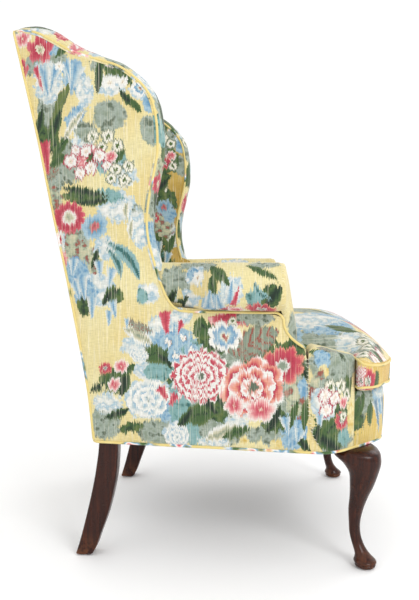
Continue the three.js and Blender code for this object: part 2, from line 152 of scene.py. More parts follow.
def side_x(y, z):
    base = 0.289 + 0.112 * (0.254 - y)
    wing = 0.272 + 0.2 * (rear_y(z) - y)
    return lerp(base, wing, smooth((z - 0.48) / 0.34))


# The wing's edge, from the arm to the top rear corner, as (y, z)
WING_EDGE = [
    (0.060, 0.5585), (0.076, 0.568), (0.091, 0.590), (0.105, 0.625), (0.116, 0.662), (0.127, 0.705),
    (0.1305, 0.745), (0.126, 0.790), (0.116, 0.837), (0.107, 0.880), (0.105, 0.915), (0.107, 0.955),
    (0.116, 0.997), (0.134, 1.026), (0.160, 1.051), (0.190, 1.071), (0.235, 1.087), (0.290, 1.107),
    (0.335, 1.133), (0.368, 1.150), (0.396, 1.157), (0.420, 1.158)]
wing_line = spline([(0, y, z) for y, z in WING_EDGE], 90)


# Making meshes

def new_object(name, verts, faces, uvs, smooth_angle=55):
    mesh = bpy.data.meshes.new(name)
    mesh.from_pydata([tuple(v) for v in verts], [], faces)
    layer = mesh.uv_layers.new(name="cloth")
    for loop in mesh.loops:
        layer.data[loop.index].uv = uvs[loop.vertex_index]
    mesh.validate()
    mesh.shade_smooth()
    obj = bpy.data.objects.new(name, mesh)
    bpy.context.scene.collection.objects.link(obj)
    bm = bmesh.new()
    bm.from_mesh(mesh)
    if bm.calc_volume(signed=True) < 0:
        bmesh.ops.reverse_faces(bm, faces=bm.faces)
    bm.to_mesh(mesh)
    bm.free()
    mesh.set_sharp_from_angle(angle=math.radians(smooth_angle))
    return obj


def settle(obj, material, body="chair", nodes=()):
    """Gives a finished piece its material, body, stand-in nodes and slot."""
    obj.data.materials.clear()
    obj.data.materials.append(material)
    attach(obj, body)
    if nodes:
        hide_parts(*nodes)
    return obj


def sheet(name, face, back, uv):
    """A closed padded sheet from two grids of points that are joined all round their edges."""
    rows, cols = len(face), len(face[0])
    verts = [p for row in face for p in row] + [p for row in back for p in row]
    uvs = [p for row in uv for p in row] * 2
    n = rows * cols

    def at(layer, r, c):
        return layer * n + r * cols + c

    faces = []
    for r in range(rows - 1):
        for c in range(cols - 1):
            faces.append((at(0, r, c), at(0, r, c + 1), at(0, r + 1, c + 1), at(0, r + 1, c)))
            faces.append((at(1, r, c), at(1, r + 1, c), at(1, r + 1, c + 1), at(1, r, c + 1)))
    for c in range(cols - 1):
        faces.append((at(1, 0, c), at(1, 0, c + 1), at(0, 0, c + 1), at(0, 0, c)))
        r = rows - 1
        faces.append((at(0, r, c), at(0, r, c + 1), at(1, r, c + 1), at(1, r, c)))
    for r in range(rows - 1):
        faces.append((at(0, r, 0), at(0, r + 1, 0), at(1, r + 1, 0), at(1, r, 0)))
        c = cols - 1
        faces.append((at(0, r + 1, c), at(0, r, c), at(1, r, c), at(1, r + 1, c)))
    return new_object(name, verts, faces, uvs)


def loft(name, rings, uvs=None, smooth_angle=55):
    """A closed body through rings of equal point count, with each end closed by a fan."""
    size = len(rings[0])
    verts = [Vector(p) for ring in rings for p in ring]
    if uvs is None:
        uvs = [(i / size, r / len(rings)) for r in range(len(rings)) for i in range(size)]
    faces = []
    for r in range(len(rings) - 1):
        for i in range(size):
            a, b = r * size + i, r * size + (i + 1) % size
            faces.append((a, b, b + size, a + size))
    for start, outward in ((0, False), ((len(rings) - 1) * size, True)):
        middle = sum((verts[start + i] for i in range(size)), Vector()) / size
        tip = len(verts)
        verts.append(middle)
        uvs = list(uvs) + [uvs[start]]
        for i in range(size):
            a, b = start + i, start + (i + 1) % size
            faces.append((a, b, tip) if outward else (b, a, tip))
    return new_object(name, verts, faces, uvs, smooth_angle)


def cord_rings(pts, radius, sides, closed):
    """The rings round each point of a cord, turned as little as they can be, and their cloth coordinates."""
    count = len(pts)
    rings, uvs, length = [], [], 0.0
    normal = None
    for i, p in enumerate(pts):
        if closed:
            along = (pts[(i + 1) % count] - pts[i - 1]).normalized()
        else:
            along = (pts[min(i + 1, count - 1)] - pts[max(i - 1, 0)]).normalized()
        if normal is None:
            normal = along.orthogonal().normalized()
        normal = (normal - along * normal.dot(along)).normalized()
        across = along.cross(normal)
        length += (p - pts[i - 1]).length if i else 0
        size = radius * (CORD_END if not closed and i in (0, count - 1) else 1)
        ring = []
        for k in range(sides):
            turn = 2 * math.pi * k / sides
            ring.append(p + size * (math.cos(turn) * normal + math.sin(turn) * across))
            uvs.append((length, radius * turn))
        rings.append(ring)
    return rings, uvs


def tube(name, points, radius, sides=10, closed=False):
    """A round cord along points, with its own length and girth as cloth coordinates."""
    rings, uvs = cord_rings([Vector(p) for p in points], radius, sides, closed)
    if not closed:
        return loft(name, rings, uvs, 80)
    faces = []
    for r in range(len(rings)):
        here, there = r * sides, (r + 1) % len(rings) * sides
        for i in range(sides):
            k = (i + 1) % sides
            faces.append((here + i, here + k, there + k, there + i))
    return new_object(name, [p for ring in rings for p in ring], faces, uvs, 80)


def mirrored(points, side):
    return [Vector((side * p[0], p[1], p[2])) for p in points]


def ruffle(a, b, seed):
    """A small smooth unevenness from -1 to 1, for pulls and puckers in cloth."""
    return (math.sin(a * 1.7 + seed * 2.3) * math.sin(b * 2.9 + seed * 1.1)
            + 0.6 * math.sin(a * 4.1 - b * 3.3 + seed * 4.7)
            + 0.35 * math.sin(a * 9.3 + b * 7.7 + seed)) / 1.95


# Shader building

class Nodes:
    """A small builder for shader trees. Inputs are sockets or plain values."""

    def __init__(self, tree):
        self.tree = tree

    def add(self, kind, ins=None, **settings):
        node = self.tree.nodes.new(kind)
        for key, value in settings.items():
            setattr(node, key, value)
        self.fill(node, ins or {})
        return node

    def fill(self, node, ins):
        for key, value in ins.items():
            self.feed(node.inputs[key], value)

    def feed(self, socket, value):
        if isinstance(value, bpy.types.NodeSocket):
            self.tree.links.new(value, socket)
        else:
            socket.default_value = value

    def math(self, op, a, b=0.0, c=0.0, clamp=False):
        node = self.add("ShaderNodeMath", {0: a, 1: b, 2: c}, operation=op, use_clamp=clamp)
        return node.outputs[0]

    def times(self, a, b):
        return self.math("MULTIPLY", a, b)

    def fma(self, a, b, c):
        """a times b, plus c."""
        return self.math("MULTIPLY_ADD", a, b, c)

    def mix(self, factor, a, b, blend="MIX"):
        node = self.add("ShaderNodeMix", data_type="RGBA", blend_type=blend)
        self.feed(node.inputs[0], factor)
        self.feed(node.inputs[6], a)
        self.feed(node.inputs[7], b)
        return node.outputs[2]

    def ramp(self, factor, stops, mode="LINEAR"):
        node = self.add("ShaderNodeValToRGB", {0: factor})
        node.color_ramp.interpolation = mode
        elements = node.color_ramp.elements
        elements[0].position, elements[0].color = stops[0][0], colour(stops[0][1])
        elements[1].position, elements[1].color = stops[-1][0], colour(stops[-1][1])
        for at, value in stops[1:-1]:
            elements.new(at).color = colour(value)
        return node.outputs[0]

    def noise(self, vector, scale, detail=2.0, dims="2D", roughness=0.5):
        node = self.add("ShaderNodeTexNoise", {"Vector": vector, "Scale": scale, "Detail": detail,
                                               "Roughness": roughness}, noise_dimensions=dims)
        return node.outputs["Fac"]

    def stretch(self, vector, x, y, z=1.0):
        node = self.add("ShaderNodeVectorMath", {0: vector, 1: (x, y, z)}, operation="MULTIPLY")
        return node.outputs[0]

    def range(self, value, low, high, to_low=0.0, to_high=1.0):
        node = self.add("ShaderNodeMapRange", {0: value, 1: low, 2: high, 3: to_low, 4: to_high})
        return node.outputs[0]

    def wave(self, vector, scale, distortion, **settings):
        ins = {"Vector": vector, "Scale": scale, "Distortion": distortion}
        return self.add("ShaderNodeTexWave", ins, **settings).outputs["Fac"]

    def cloth(self):
        return self.add("ShaderNodeUVMap", uv_map="cloth").outputs[0]

    def spot(self):
        return self.add("ShaderNodeTexCoord").outputs["Object"]

    def shaded(self, tone, shade):
        grey = self.add("ShaderNodeCombineColor", {0: shade, 1: shade, 2: shade}).outputs[0]
        return self.mix(1.0, tone, grey, "MULTIPLY")

    def bump(self, shader, height, strength, depth):
        node = self.add("ShaderNodeBump", {"Height": height, "Strength": strength, "Distance": depth})
        self.feed(shader.inputs["Normal"], node.outputs[0])

    def slope(self, value, low, high):
        """As range, from 0 to 1, but left unclamped for a mix that clamps its own factor."""
        node = self.add("ShaderNodeMapRange", {0: value, 1: low, 2: high}, clamp=False)
        return node.outputs[0]


def colour(value):
    """A hex sRGB colour as linear RGBA."""
    if not isinstance(value, str):
        return value
    parts = [int(value[i:i + 2], 16) / 255 for i in (0, 2, 4)]
    return tuple(p / 12.92 if p <= 0.04045 else ((p + 0.055) / 1.055) ** 2.4 for p in parts) + (1.0,)


def new_material(name):
    material = bpy.data.materials.new(name)
    material.use_nodes = True
    tree = material.node_tree
    shader = next(n for n in tree.nodes if n.type == "BSDF_PRINCIPLED")
    return material, Nodes(tree), shader


# The printed cloth's colours
YELLOW, GOLD, CREAM = "ECDFA6", "DDBD62", "F4EDD2"
WHITE, PEARL, BEIGE = "F2F1EA", "D9DED8", "CFC9A8"
SAGE, SAGE_DARK, OLIVE = "8C9A86", "616F5C", "68783F"
GREEN, DEEP = "456336", "243A2A"
AQUA, TEAL, BLUE, SKY = "8CB3B4", "3A6C68", "6B9CBE", "A6C4D2"
CRIMSON, RED, ROSE, PINK, CORAL = "B2364B", "C8495A", "D9707C", "EFB9B4", "E79A80"
RUST = "9C5A4C"


def motif_group(name):
    """A motif's shader group. It turns the cloth's U and V into the motif's own X and Y, from -1 to 1."""
    group = bpy.data.node_groups.new(name, "ShaderNodeTree")
    group.interface.new_socket("Under", in_out="INPUT", socket_type="NodeSocketColor")
    for socket in ("U", "V", "Cloud", "XU", "XV", "X0", "YU", "YV", "Y0"):
        group.interface.new_socket(socket, in_out="INPUT", socket_type="NodeSocketFloat")
    group.interface.new_socket("Color", in_out="OUTPUT", socket_type="NodeSocketColor")
    nodes = Nodes(group)
    given = nodes.add("NodeGroupInput").outputs
    x = nodes.fma(given["U"], given["XU"], nodes.fma(given["V"], given["XV"], given["X0"]))
    y = nodes.fma(given["U"], given["YU"], nodes.fma(given["V"], given["YV"], given["Y0"]))
    return group, nodes, x, y, given["Cloud"], given["Under"]


def finish_group(group, nodes, under, tone, mask):
    out = nodes.add("NodeGroupOutput")
    nodes.feed(out.inputs[0], nodes.mix(mask, under, tone))
    return group


def distance(nodes, x, y):
    return nodes.math("SQRT", nodes.fma(x, x, nodes.times(y, y)))


def lobes_at(nodes, turn, petals):
    return nodes.math("ABSOLUTE", nodes.math("COSINE", nodes.times(turn, petals / 2)))


def petal_group(name, petals, notch, stops):
    """A flower of one ring of petals. The stops run from its centre to its rim."""
    group, nodes, x, y, cloud, under = motif_group(name)
    turn = nodes.math("ARCTAN2", y, x)
    lobes = nodes.math("POWER", lobes_at(nodes, turn, petals), 0.55)
    reach = nodes.fma(lobes, notch, 1 - notch)
    q = nodes.math("DIVIDE", distance(nodes, x, y), reach)
    mottled = nodes.fma(cloud, 0.16, nodes.math("SUBTRACT", q, 0.08))
    return finish_group(group, nodes, under, nodes.ramp(mottled, stops), nodes.slope(q, 1.0, 0.97))


def layered_group(name, petals, rings, notch, stops, centre):
    """A full flower: rings of petals, each petal shaded from its base to a pale tip."""
    group, nodes, x, y, cloud, under = motif_group(name)
    turn = nodes.math("ARCTAN2", y, x)
    far = nodes.fma(cloud, 0.22, nodes.math("SUBTRACT", distance(nodes, x, y), 0.11))
    scaled = nodes.times(far, rings)
    ring = nodes.math("FLOOR", scaled)
    phase = nodes.fma(turn, petals / 2, nodes.times(ring, 1.9))
    lobes = nodes.math("POWER", nodes.math("ABSOLUTE", nodes.math("SINE", phase)), 0.6)
    edge = nodes.fma(lobes, -notch, nodes.math("SUBTRACT", scaled, ring))
    tone = nodes.ramp(nodes.math("ADD", edge, notch), stops)
    tone = nodes.mix(nodes.slope(far, centre + 0.04, centre), tone, colour(SAGE_DARK))
    rim = nodes.fma(lobes_at(nodes, turn, petals), 0.14, 0.86)
    return finish_group(group, nodes, under, tone, nodes.slope(nodes.math("DIVIDE", far, rim), 1.0, 0.96))


def leaf_group(name, stops, bend=0.0, veins=0.0):
    """A leaf along X from -1 to 1. The stops run from its midrib to its edge."""
    group, nodes, x, y, cloud, under = motif_group(name)
    squared = nodes.times(x, x)
    lifted = nodes.math("ABSOLUTE", nodes.fma(squared, bend, y))
    width = nodes.math("MAXIMUM", nodes.fma(squared, -1.0, 1.0), 0.001)
    q = nodes.math("DIVIDE", lifted, width)
    tone = nodes.ramp(nodes.fma(cloud, 0.3, nodes.math("SUBTRACT", q, 0.15)), stops)
    if veins:
        wave = nodes.math("SINE", nodes.fma(lifted, -9.0, nodes.times(x, 16.0)))
        tone = nodes.mix(nodes.times(nodes.slope(wave, 0.55, 0.8), veins), tone, colour(RUST))
    return finish_group(group, nodes, under, tone, nodes.slope(q, 1.0, 0.9))


def patch_group(name, stops, feather=0.35):
    """A loose patch of colour with a broken edge."""
    group, nodes, x, y, cloud, under = motif_group(name)
    far = nodes.math("ADD", distance(nodes, x, y), feather)
    edge = nodes.fma(cloud, -feather * 2, far)
    return finish_group(group, nodes, under, nodes.ramp(cloud, stops), nodes.slope(edge, 1.0, 0.92))


def bell_group(name, stops):
    """A hanging bell or flame, wide at the top and drawn out below."""
    group, nodes, x, y, cloud, under = motif_group(name)
    width = nodes.math("MAXIMUM", nodes.fma(y, 0.42, 0.58), 0.001)
    q = nodes.math("DIVIDE", nodes.math("ABSOLUTE", x), width)
    over = nodes.math("MAXIMUM", q, nodes.math("ABSOLUTE", y))
    mottled = nodes.fma(cloud, 0.5, nodes.math("SUBTRACT", q, 0.25))
    return finish_group(group, nodes, under, nodes.ramp(mottled, stops), nodes.slope(over, 1.0, 0.9))


MOTIFS = {name: make(name, *given) for name, make, *given in [
    ("crimson_flower", petal_group, 5, 0.42, [
        (0, OLIVE), (0.16, BEIGE), (0.30, CREAM), (0.36, CRIMSON), (0.75, RED), (0.95, ROSE)]),
    ("pink_flower", petal_group, 5, 0.3, [
        (0, CREAM), (0.2, RED), (0.45, ROSE), (0.7, PINK), (0.95, WHITE)]),
    ("blossom", petal_group, 6, 0.3, [
        (0, GREEN), (0.14, CREAM), (0.26, PINK), (0.34, WHITE), (0.74, WHITE), (0.84, CRIMSON)]),
    ("primrose", petal_group, 5, 0.3, [
        (0, GREEN), (0.32, OLIVE), (0.38, WHITE), (0.72, CREAM), (0.82, SAGE_DARK), (0.95, SAGE)]),
    ("star", petal_group, 5, 0.45, [(0, RUST), (0.25, CREAM), (0.4, WHITE), (0.95, WHITE)]),
    ("carnation", petal_group, 13, 0.22, [
        (0, SAGE), (0.22, BEIGE), (0.40, WHITE), (0.48, ROSE), (0.6, CRIMSON), (0.86, RED), (0.97, ROSE)]),
    ("eye_flower", petal_group, 7, 0.28, [
        (0, CRIMSON), (0.16, RUST), (0.24, CREAM), (0.36, SKY), (0.62, BLUE), (0.75, WHITE), (0.95, WHITE)]),
    ("sky_flower", petal_group, 7, 0.22, [
        (0, RUST), (0.3, ROSE), (0.38, SAGE), (0.48, BLUE), (0.8, SKY), (0.95, SKY)]),
    ("red_ring", petal_group, 9, 0.3, [
        (0, SAGE), (0.2, SAGE), (0.3, WHITE), (0.38, CRIMSON), (0.8, RED), (0.97, CORAL)]),
    ("dahlia", layered_group, 15, 5.0, 0.55, [
        (0, CRIMSON), (0.3, RED), (0.52, ROSE), (0.66, WHITE), (1, WHITE)], 0.10),
    ("peony", layered_group, 7, 3.0, 0.6, [
        (0, CRIMSON), (0.25, RED), (0.55, CORAL), (0.82, PINK), (0.93, WHITE), (1, WHITE)], 0.14),
    ("rosette", layered_group, 6, 3.2, 0.5, [
        (0, BLUE), (0.2, SKY), (0.5, PEARL), (0.75, WHITE), (1, WHITE)], 0.02),
    ("leaf", leaf_group, [(0, DEEP), (0.14, GREEN), (0.6, GREEN), (1, OLIVE)], 0.15),
    ("dark_leaf", leaf_group, [(0, "1D2F22"), (0.3, DEEP), (0.8, GREEN), (1, OLIVE)], -0.2),
    ("veined_leaf", leaf_group, [(0, RUST), (0.07, SAGE), (0.7, SAGE), (1, SAGE_DARK)], 0.05, 0.9),
    ("aqua_arc", leaf_group, [(0, TEAL), (0.28, TEAL), (0.4, AQUA), (1, AQUA)], 1.1),
    ("stem", leaf_group, [(0, OLIVE), (0.5, OLIVE), (1, SAGE_DARK)], 0.5),
    ("pale_leaf", leaf_group, [(0, SAGE), (0.35, BEIGE), (0.7, WHITE), (1, PEARL)], 0.4),
    ("bell", bell_group, [(0, BLUE), (0.35, SKY), (0.8, PEARL), (1, WHITE)]),
    ("flame_blue", bell_group, [(0, "5F7F9C"), (0.5, "8FA6B0"), (0.85, PEARL), (1, WHITE)]),
    ("flame", bell_group, [(0, CRIMSON), (0.4, RED), (0.8, ROSE), (1, PINK)]),
    ("sage", patch_group, [(0.3, SAGE), (0.55, "A7B3A6"), (0.7, SAGE_DARK)], 0.25),
    ("deep", patch_group, [(0.3, DEEP), (0.5, GREEN), (0.75, OLIVE)], 0.4),
    ("white", patch_group, [(0.3, WHITE), (0.5, PEARL), (0.62, SKY), (0.8, WHITE)], 0.4),
    ("aqua", patch_group, [(0.3, AQUA), (0.6, "7FAAA6"), (0.75, TEAL)], 0.3),
    ("blue", patch_group, [(0.3, BLUE), (0.5, SKY), (0.72, BLUE)], 0.35),
    ("gold", patch_group, [(0.3, GOLD), (0.6, YELLOW), (0.8, YELLOW)], 0.3),
    ("beige", patch_group, [(0.3, BEIGE), (0.48, "B9BFA0"), (0.56, SAGE), (0.66, RUST)], 0.35),
    ("red", patch_group, [(0.3, CRIMSON), (0.5, RED), (0.7, PINK)], 0.4),
    ("pink", patch_group, [(0.3, PINK), (0.5, ROSE), (0.7, WHITE)], 0.4),
]}


def placed(rows):
    """Placements in metres and radians from rows in millimetres and hundredths of a radian."""
    made = []
    for motif, across, up, a, b, *turn in rows:
        turn = turn[0] / 100 if turn else 0.0
        made.append((motif, across / 1000, up / 1000, a / 1000, b / 1000, turn))
    return made


# The print, as (motif, Y, Z, half width, half height, turn) where it falls on the chair's side. Later
# motifs lie over earlier ones, and a motif with no turn stands upright.
DESIGN = placed([
    # Loose grounds of colour
    ("sage", 20, 340, 75, 40), ("deep", 60, 400, 30, 50), ("sage", -40, 470, 60, 40),
    ("deep", -30, 400, 34, 50), ("sage", -170, 400, 36, 60), ("sage", 110, 480, 36, 34),
    ("deep", -110, 470, 50, 24), ("sage", 300, 880, 40, 50, 30), ("deep", 350, 930, 26, 44, 20),
    ("sage", 350, 990, 24, 40, 20), ("sage", 300, 700, 44, 50), ("white", 195, 780, 44, 34),
    ("aqua", 20, 300, 50, 30), ("sage", -150, 300, 50, 30), ("sage", 330, 1090, 30, 30),
    ("deep", 190, 1060, 34, 22, -50), ("sage", 230, 1075, 22, 16), ("deep", 205, 405, 34, 30, 20),
    ("blue", 330, 1122, 30, 22, 20), ("sage", 372, 1086, 34, 24, 30), ("white", 345, 1045, 36, 50, 10),
    ("blue", 285, 1052, 26, 38, 10), ("white", 262, 1020, 20, 34), ("sage", 208, 968, 40, 34),
    ("white", 205, 1030, 34, 24, -20), ("sage", 122, 935, 20, 34, 20), ("white", 140, 1022, 26, 24),
    ("blue", 120, 990, 15, 22), ("white", 270, 912, 24, 36), ("blue", 284, 970, 28, 18, 60),
    ("pink", 252, 880, 34, 28), ("deep", 240, 880, 20, 18), ("aqua", 226, 862, 18, 14),
    ("sage", 262, 938, 34, 20, -50), ("aqua", 182, 872, 12, 20), ("white", 180, 842, 34, 26),
    ("sage", 345, 835, 32, 30, 30), ("beige", 345, 790, 26, 34), ("aqua", 215, 802, 36, 16, -10),
    ("deep", 268, 800, 50, 16, -15), ("white", 186, 770, 26, 22, 40), ("sage", 150, 766, 12, 18),
    ("white", 146, 732, 24, 42, 20), ("beige", 310, 702, 30, 52, 20), ("beige", 262, 655, 32, 50, 30),
    ("white", 222, 690, 26, 26), ("blue", 292, 640, 34, 30), ("white", 240, 600, 42, 40),
    ("blue", 268, 590, 28, 34), ("deep", 205, 588, 20, 22), ("deep", 272, 566, 18, 22),
    ("white", 128, 594, 26, 24, 20), ("aqua", 142, 588, 12, 18), ("white", 100, 518, 40, 30, 30),
    ("white", 60, 545, 26, 20), ("white", 165, 482, 26, 20, 20), ("sage", 228, 308, 36, 40),
    ("deep", 200, 335, 20, 16, 30), ("white", 222, 352, 34, 24), ("white", 130, 430, 36, 26, 30),
    ("aqua", 108, 428, 34, 26, 40), ("white", 128, 366, 54, 48), ("blue", 78, 338, 36, 32, 30),
    ("aqua", 56, 360, 30, 70), ("sage", 108, 292, 48, 30), ("white", 68, 288, 32, 32),
    ("aqua", 20, 288, 34, 24), ("sage", -30, 308, 52, 40), ("white", -55, 330, 34, 24),
    ("deep", -18, 352, 34, 30), ("blue", 75, 484, 56, 40, 20), ("aqua", 20, 470, 40, 30),
    ("deep", -10, 498, 30, 38, 30), ("red", -62, 543, 62, 16, 5), ("deep", -180, 472, 26, 40, -30),
    ("beige", -192, 376, 30, 58), ("sage", -100, 545, 40, 16), ("sage", -190, 440, 24, 24),
    ("blue", -165, 322, 22, 26), ("blue", -200, 402, 12, 22), ("blue", -190, 310, 20, 28),
    ("blue", -178, 284, 30, 16), ("deep", -142, 330, 30, 26), ("sage", -85, 296, 34, 20),
    ("white", -12, 276, 40, 12), ("deep", 170, 300, 30, 12, 20), ("white", 330, 700, 14, 40),
    ("pink", 322, 668, 12, 20),
    # Leaves and stems
    ("leaf", 306, 1116, 30, 9, 70), ("leaf", 200, 1066, 44, 14, -50), ("leaf", 178, 1054, 36, 13, -90),
    ("dark_leaf", 230, 1050, 36, 10, 150), ("stem", 325, 985, 55, 10, 105),
    ("stem", 310, 1018, 36, 9, 80), ("dark_leaf", 368, 962, 34, 10, 130),
    ("dark_leaf", 332, 950, 40, 13, 110), ("leaf", 352, 916, 42, 13, 120),
    ("leaf", 322, 905, 36, 11, 90), ("dark_leaf", 168, 1000, 28, 9, -80),
    ("leaf", 150, 985, 20, 8, -90), ("leaf", 328, 880, 24, 12, 50), ("pale_leaf", 290, 955, 40, 10, 90),
    ("veined_leaf", 355, 850, 32, 16, 40), ("leaf", 192, 880, 26, 10, 80),
    ("dark_leaf", 268, 812, 58, 10, -20), ("dark_leaf", 250, 790, 40, 9, 10),
    ("pale_leaf", 176, 772, 18, 10, 150), ("pale_leaf", 166, 732, 20, 9, 150),
    ("aqua_arc", 172, 672, 56, 15, -85), ("aqua_arc", 196, 662, 36, 10, -110),
    ("dark_leaf", 246, 668, 22, 8, 120), ("dark_leaf", 218, 585, 22, 10, 100),
    ("pale_leaf", 150, 506, 38, 16, -50), ("veined_leaf", 150, 524, 36, 10, -40),
    ("leaf", 112, 464, 36, 22, 10), ("dark_leaf", 92, 452, 30, 10, -70),
    ("leaf", 214, 408, 28, 12, 120), ("dark_leaf", 184, 400, 32, 16, 140),
    ("leaf", 174, 428, 20, 10, 80), ("dark_leaf", 246, 385, 20, 9, 60),
    ("dark_leaf", 200, 330, 34, 10, 40), ("leaf", 20, 336, 36, 26, 30),
    ("dark_leaf", 48, 326, 28, 12, 90), ("leaf", 14, 522, 20, 26, 30),
    ("veined_leaf", -100, 496, 56, 32, 50), ("veined_leaf", -60, 480, 40, 18, -60),
    ("leaf", -168, 468, 46, 12, -90), ("dark_leaf", -196, 446, 32, 11, -120),
    ("dark_leaf", -25, 478, 30, 12, 80), ("dark_leaf", -140, 330, 34, 16, 110),
    ("leaf", -180, 344, 30, 9, 130), ("leaf", -204, 346, 36, 8, 150),
    ("dark_leaf", 2, 362, 34, 14, -80), ("pale_leaf", -30, 300, 46, 18, 50),
    ("dark_leaf", -200, 284, 26, 11, -90), ("leaf", -60, 300, 34, 12, 40),
    # Flowers
    ("pink_flower", 402, 1140, 21, 19, 20), ("crimson_flower", 362, 1115, 33, 31, 30),
    ("crimson_flower", 408, 1078, 18, 22), ("pink_flower", 200, 1082, 19, 15),
    ("bell", 352, 1048, 18, 34, 20), ("bell", 332, 1052, 14, 28, -30), ("flame", 366, 1052, 8, 26, 30),
    ("bell", 286, 1050, 24, 28, -20), ("bell", 300, 1068, 14, 22, 30),
    ("eye_flower", 140, 1024, 20, 18, 40), ("star", 206, 1036, 20, 14, 20),
    ("star", 178, 1036, 14, 11, 60), ("primrose", 246, 926, 17, 15, 10),
    ("primrose", 212, 928, 18, 16, 50), ("primrose", 190, 906, 16, 15, 90),
    ("primrose", 226, 904, 14, 12, 30), ("blossom", 297, 878, 19, 17, 20),
    ("blossom", 262, 898, 17, 15, 60), ("blossom", 252, 862, 18, 16), ("blossom", 232, 886, 17, 15, 40),
    ("blossom", 276, 852, 16, 14, 80), ("pink_flower", 206, 884, 16, 14, 10),
    ("blossom", 285, 900, 13, 11, 50), ("blossom", 215, 866, 13, 12, 10),
    ("primrose", 196, 856, 17, 15, 40), ("primrose", 168, 864, 16, 14, 80),
    ("primrose", 176, 834, 17, 14, 20), ("primrose", 206, 838, 15, 13, 60),
    ("flame", 356, 886, 16, 36, 10), ("flame", 366, 812, 12, 18), ("carnation", 305, 757, 40, 36, 20),
    ("sky_flower", 246, 736, 32, 28, 40), ("red_ring", 333, 705, 10, 16),
    ("bell", 236, 645, 13, 20, 10), ("bell", 212, 628, 14, 22, -20), ("bell", 276, 603, 18, 24, 20),
    ("bell", 255, 562, 14, 24), ("bell", 290, 598, 12, 22, 30), ("bell", 298, 650, 14, 18, -10),
    ("bell", 205, 560, 12, 20, 20), ("bell", 216, 540, 10, 18), ("bell", 176, 530, 7, 12),
    ("flame", 91, 530, 15, 28, 10), ("flame", 60, 520, 8, 16, -20), ("sky_flower", 52, 500, 18, 16, 20),
    ("sky_flower", 85, 490, 20, 18, 60), ("star", 86, 490, 8, 8), ("star", 54, 500, 8, 7, 40),
    ("sky_flower", 70, 462, 18, 16, 10), ("star", 70, 462, 8, 7, 80),
    ("sky_flower", 36, 476, 17, 15, 90), ("star", 36, 476, 7, 7, 20), ("rosette", 150, 462, 22, 18),
    ("red_ring", 226, 430, 17, 14, 30), ("pink_flower", 190, 436, 18, 16, 20),
    ("pink_flower", 206, 396, 18, 15, 90), ("rosette", 130, 366, 52, 44, 30),
    ("flame", 96, 380, 14, 16, 60), ("flame", 76, 366, 14, 14, -60), ("rosette", 68, 286, 30, 28, 80),
    ("dahlia", 16, 420, 68, 62, 20), ("eye_flower", -36, 506, 38, 34, 10),
    ("red_ring", -156, 446, 50, 42, 40), ("peony", -94, 398, 74, 66, 50),
    ("pink_flower", -112, 352, 36, 28, 20), ("pink_flower", -56, 360, 24, 22, 70),
    ("bell", -165, 322, 14, 18, 20), ("bell", -192, 300, 14, 16, -20), ("gold", -78, 284, 10, 10),
    ("gold", -146, 278, 14, 12), ("primrose", -52, 536, 12, 10, 30), ("star", 318, 1078, 12, 10, 10),
])

# More of the print where it shows on the inside of the wings. Its many deep green patches are partly print
# and partly painted shade, as the insides of the wings lie in shadow
WING_DESIGN_AND_SHADE = placed([
    ("deep", 190, 1052, 40, 36), ("sage", 165, 1000, 34, 40), ("deep", 150, 945, 30, 36),
    ("deep", 190, 900, 44, 36), ("beige", 180, 760, 40, 60), ("deep", 160, 830, 36, 34),
    ("deep", 200, 700, 44, 36), ("sage", 220, 800, 34, 50), ("blue", 150, 790, 20, 26),
    ("deep", 170, 640, 40, 30), ("leaf", 200, 1030, 44, 13, 90), ("dark_leaf", 180, 870, 44, 14, 70),
    ("leaf", 150, 700, 40, 12, 120), ("dark_leaf", 215, 750, 44, 14, 100),
    ("primrose", 168, 1012, 19, 17, 20), ("primrose", 146, 996, 18, 16, 60),
    ("primrose", 178, 984, 17, 16, 10), ("pink_flower", 146, 960, 17, 15, 40),
    ("red_ring", 164, 940, 20, 18, 30), ("primrose", 140, 930, 16, 15, 80),
    ("crimson_flower", 212, 880, 34, 30, 20), ("flame", 200, 840, 12, 26, 10),
    ("sky_flower", 165, 812, 24, 22, 40), ("bell", 180, 690, 14, 22, 10),
    ("bell", 156, 660, 13, 22, -20), ("red_ring", 190, 780, 12, 14, 40),
])

POST_DESIGN = placed([
    ("sage", -250, 450, 60, 44), ("sage", -250, 410, 50, 24), ("deep", -290, 440, 16, 70),
    ("deep", -250, 340, 46, 34), ("sage", -250, 290, 60, 40), ("deep", -230, 480, 40, 12),
    ("sage", -258, 452, 34, 42), ("blue", -222, 464, 18, 26, 30), ("gold", -226, 436, 12, 14),
    ("sage", -296, 455, 20, 38), ("beige", -215, 400, 20, 40), ("sage", -230, 408, 16, 14),
    ("deep", -252, 360, 22, 22), ("deep", -272, 352, 18, 16), ("white", -232, 372, 30, 38),
    ("deep", -250, 302, 40, 36, 20), ("leaf", -246, 318, 40, 20, 70),
    ("dark_leaf", -236, 286, 40, 18, -60), ("aqua", -282, 292, 22, 20), ("gold", -300, 330, 12, 40),
    ("primrose", -242, 404, 18, 18, 20), ("primrose", -268, 404, 18, 18, 60),
    ("primrose", -286, 382, 14, 16), ("blossom", -230, 386, 18, 17, 30),
    ("blossom", -252, 378, 16, 15, 80), ("blossom", -232, 356, 18, 16, 50),
    ("pink_flower", -276, 368, 14, 14, 20), ("red_ring", -272, 330, 20, 22, 40),
    ("primrose", -276, 338, 13, 13, 10), ("bell", -218, 330, 10, 20),
    ("dark_leaf", -212, 300, 30, 10, 130), ("dark_leaf", -275, 477, 24, 8, 140),
    ("veined_leaf", -250, 496, 50, 10),
])

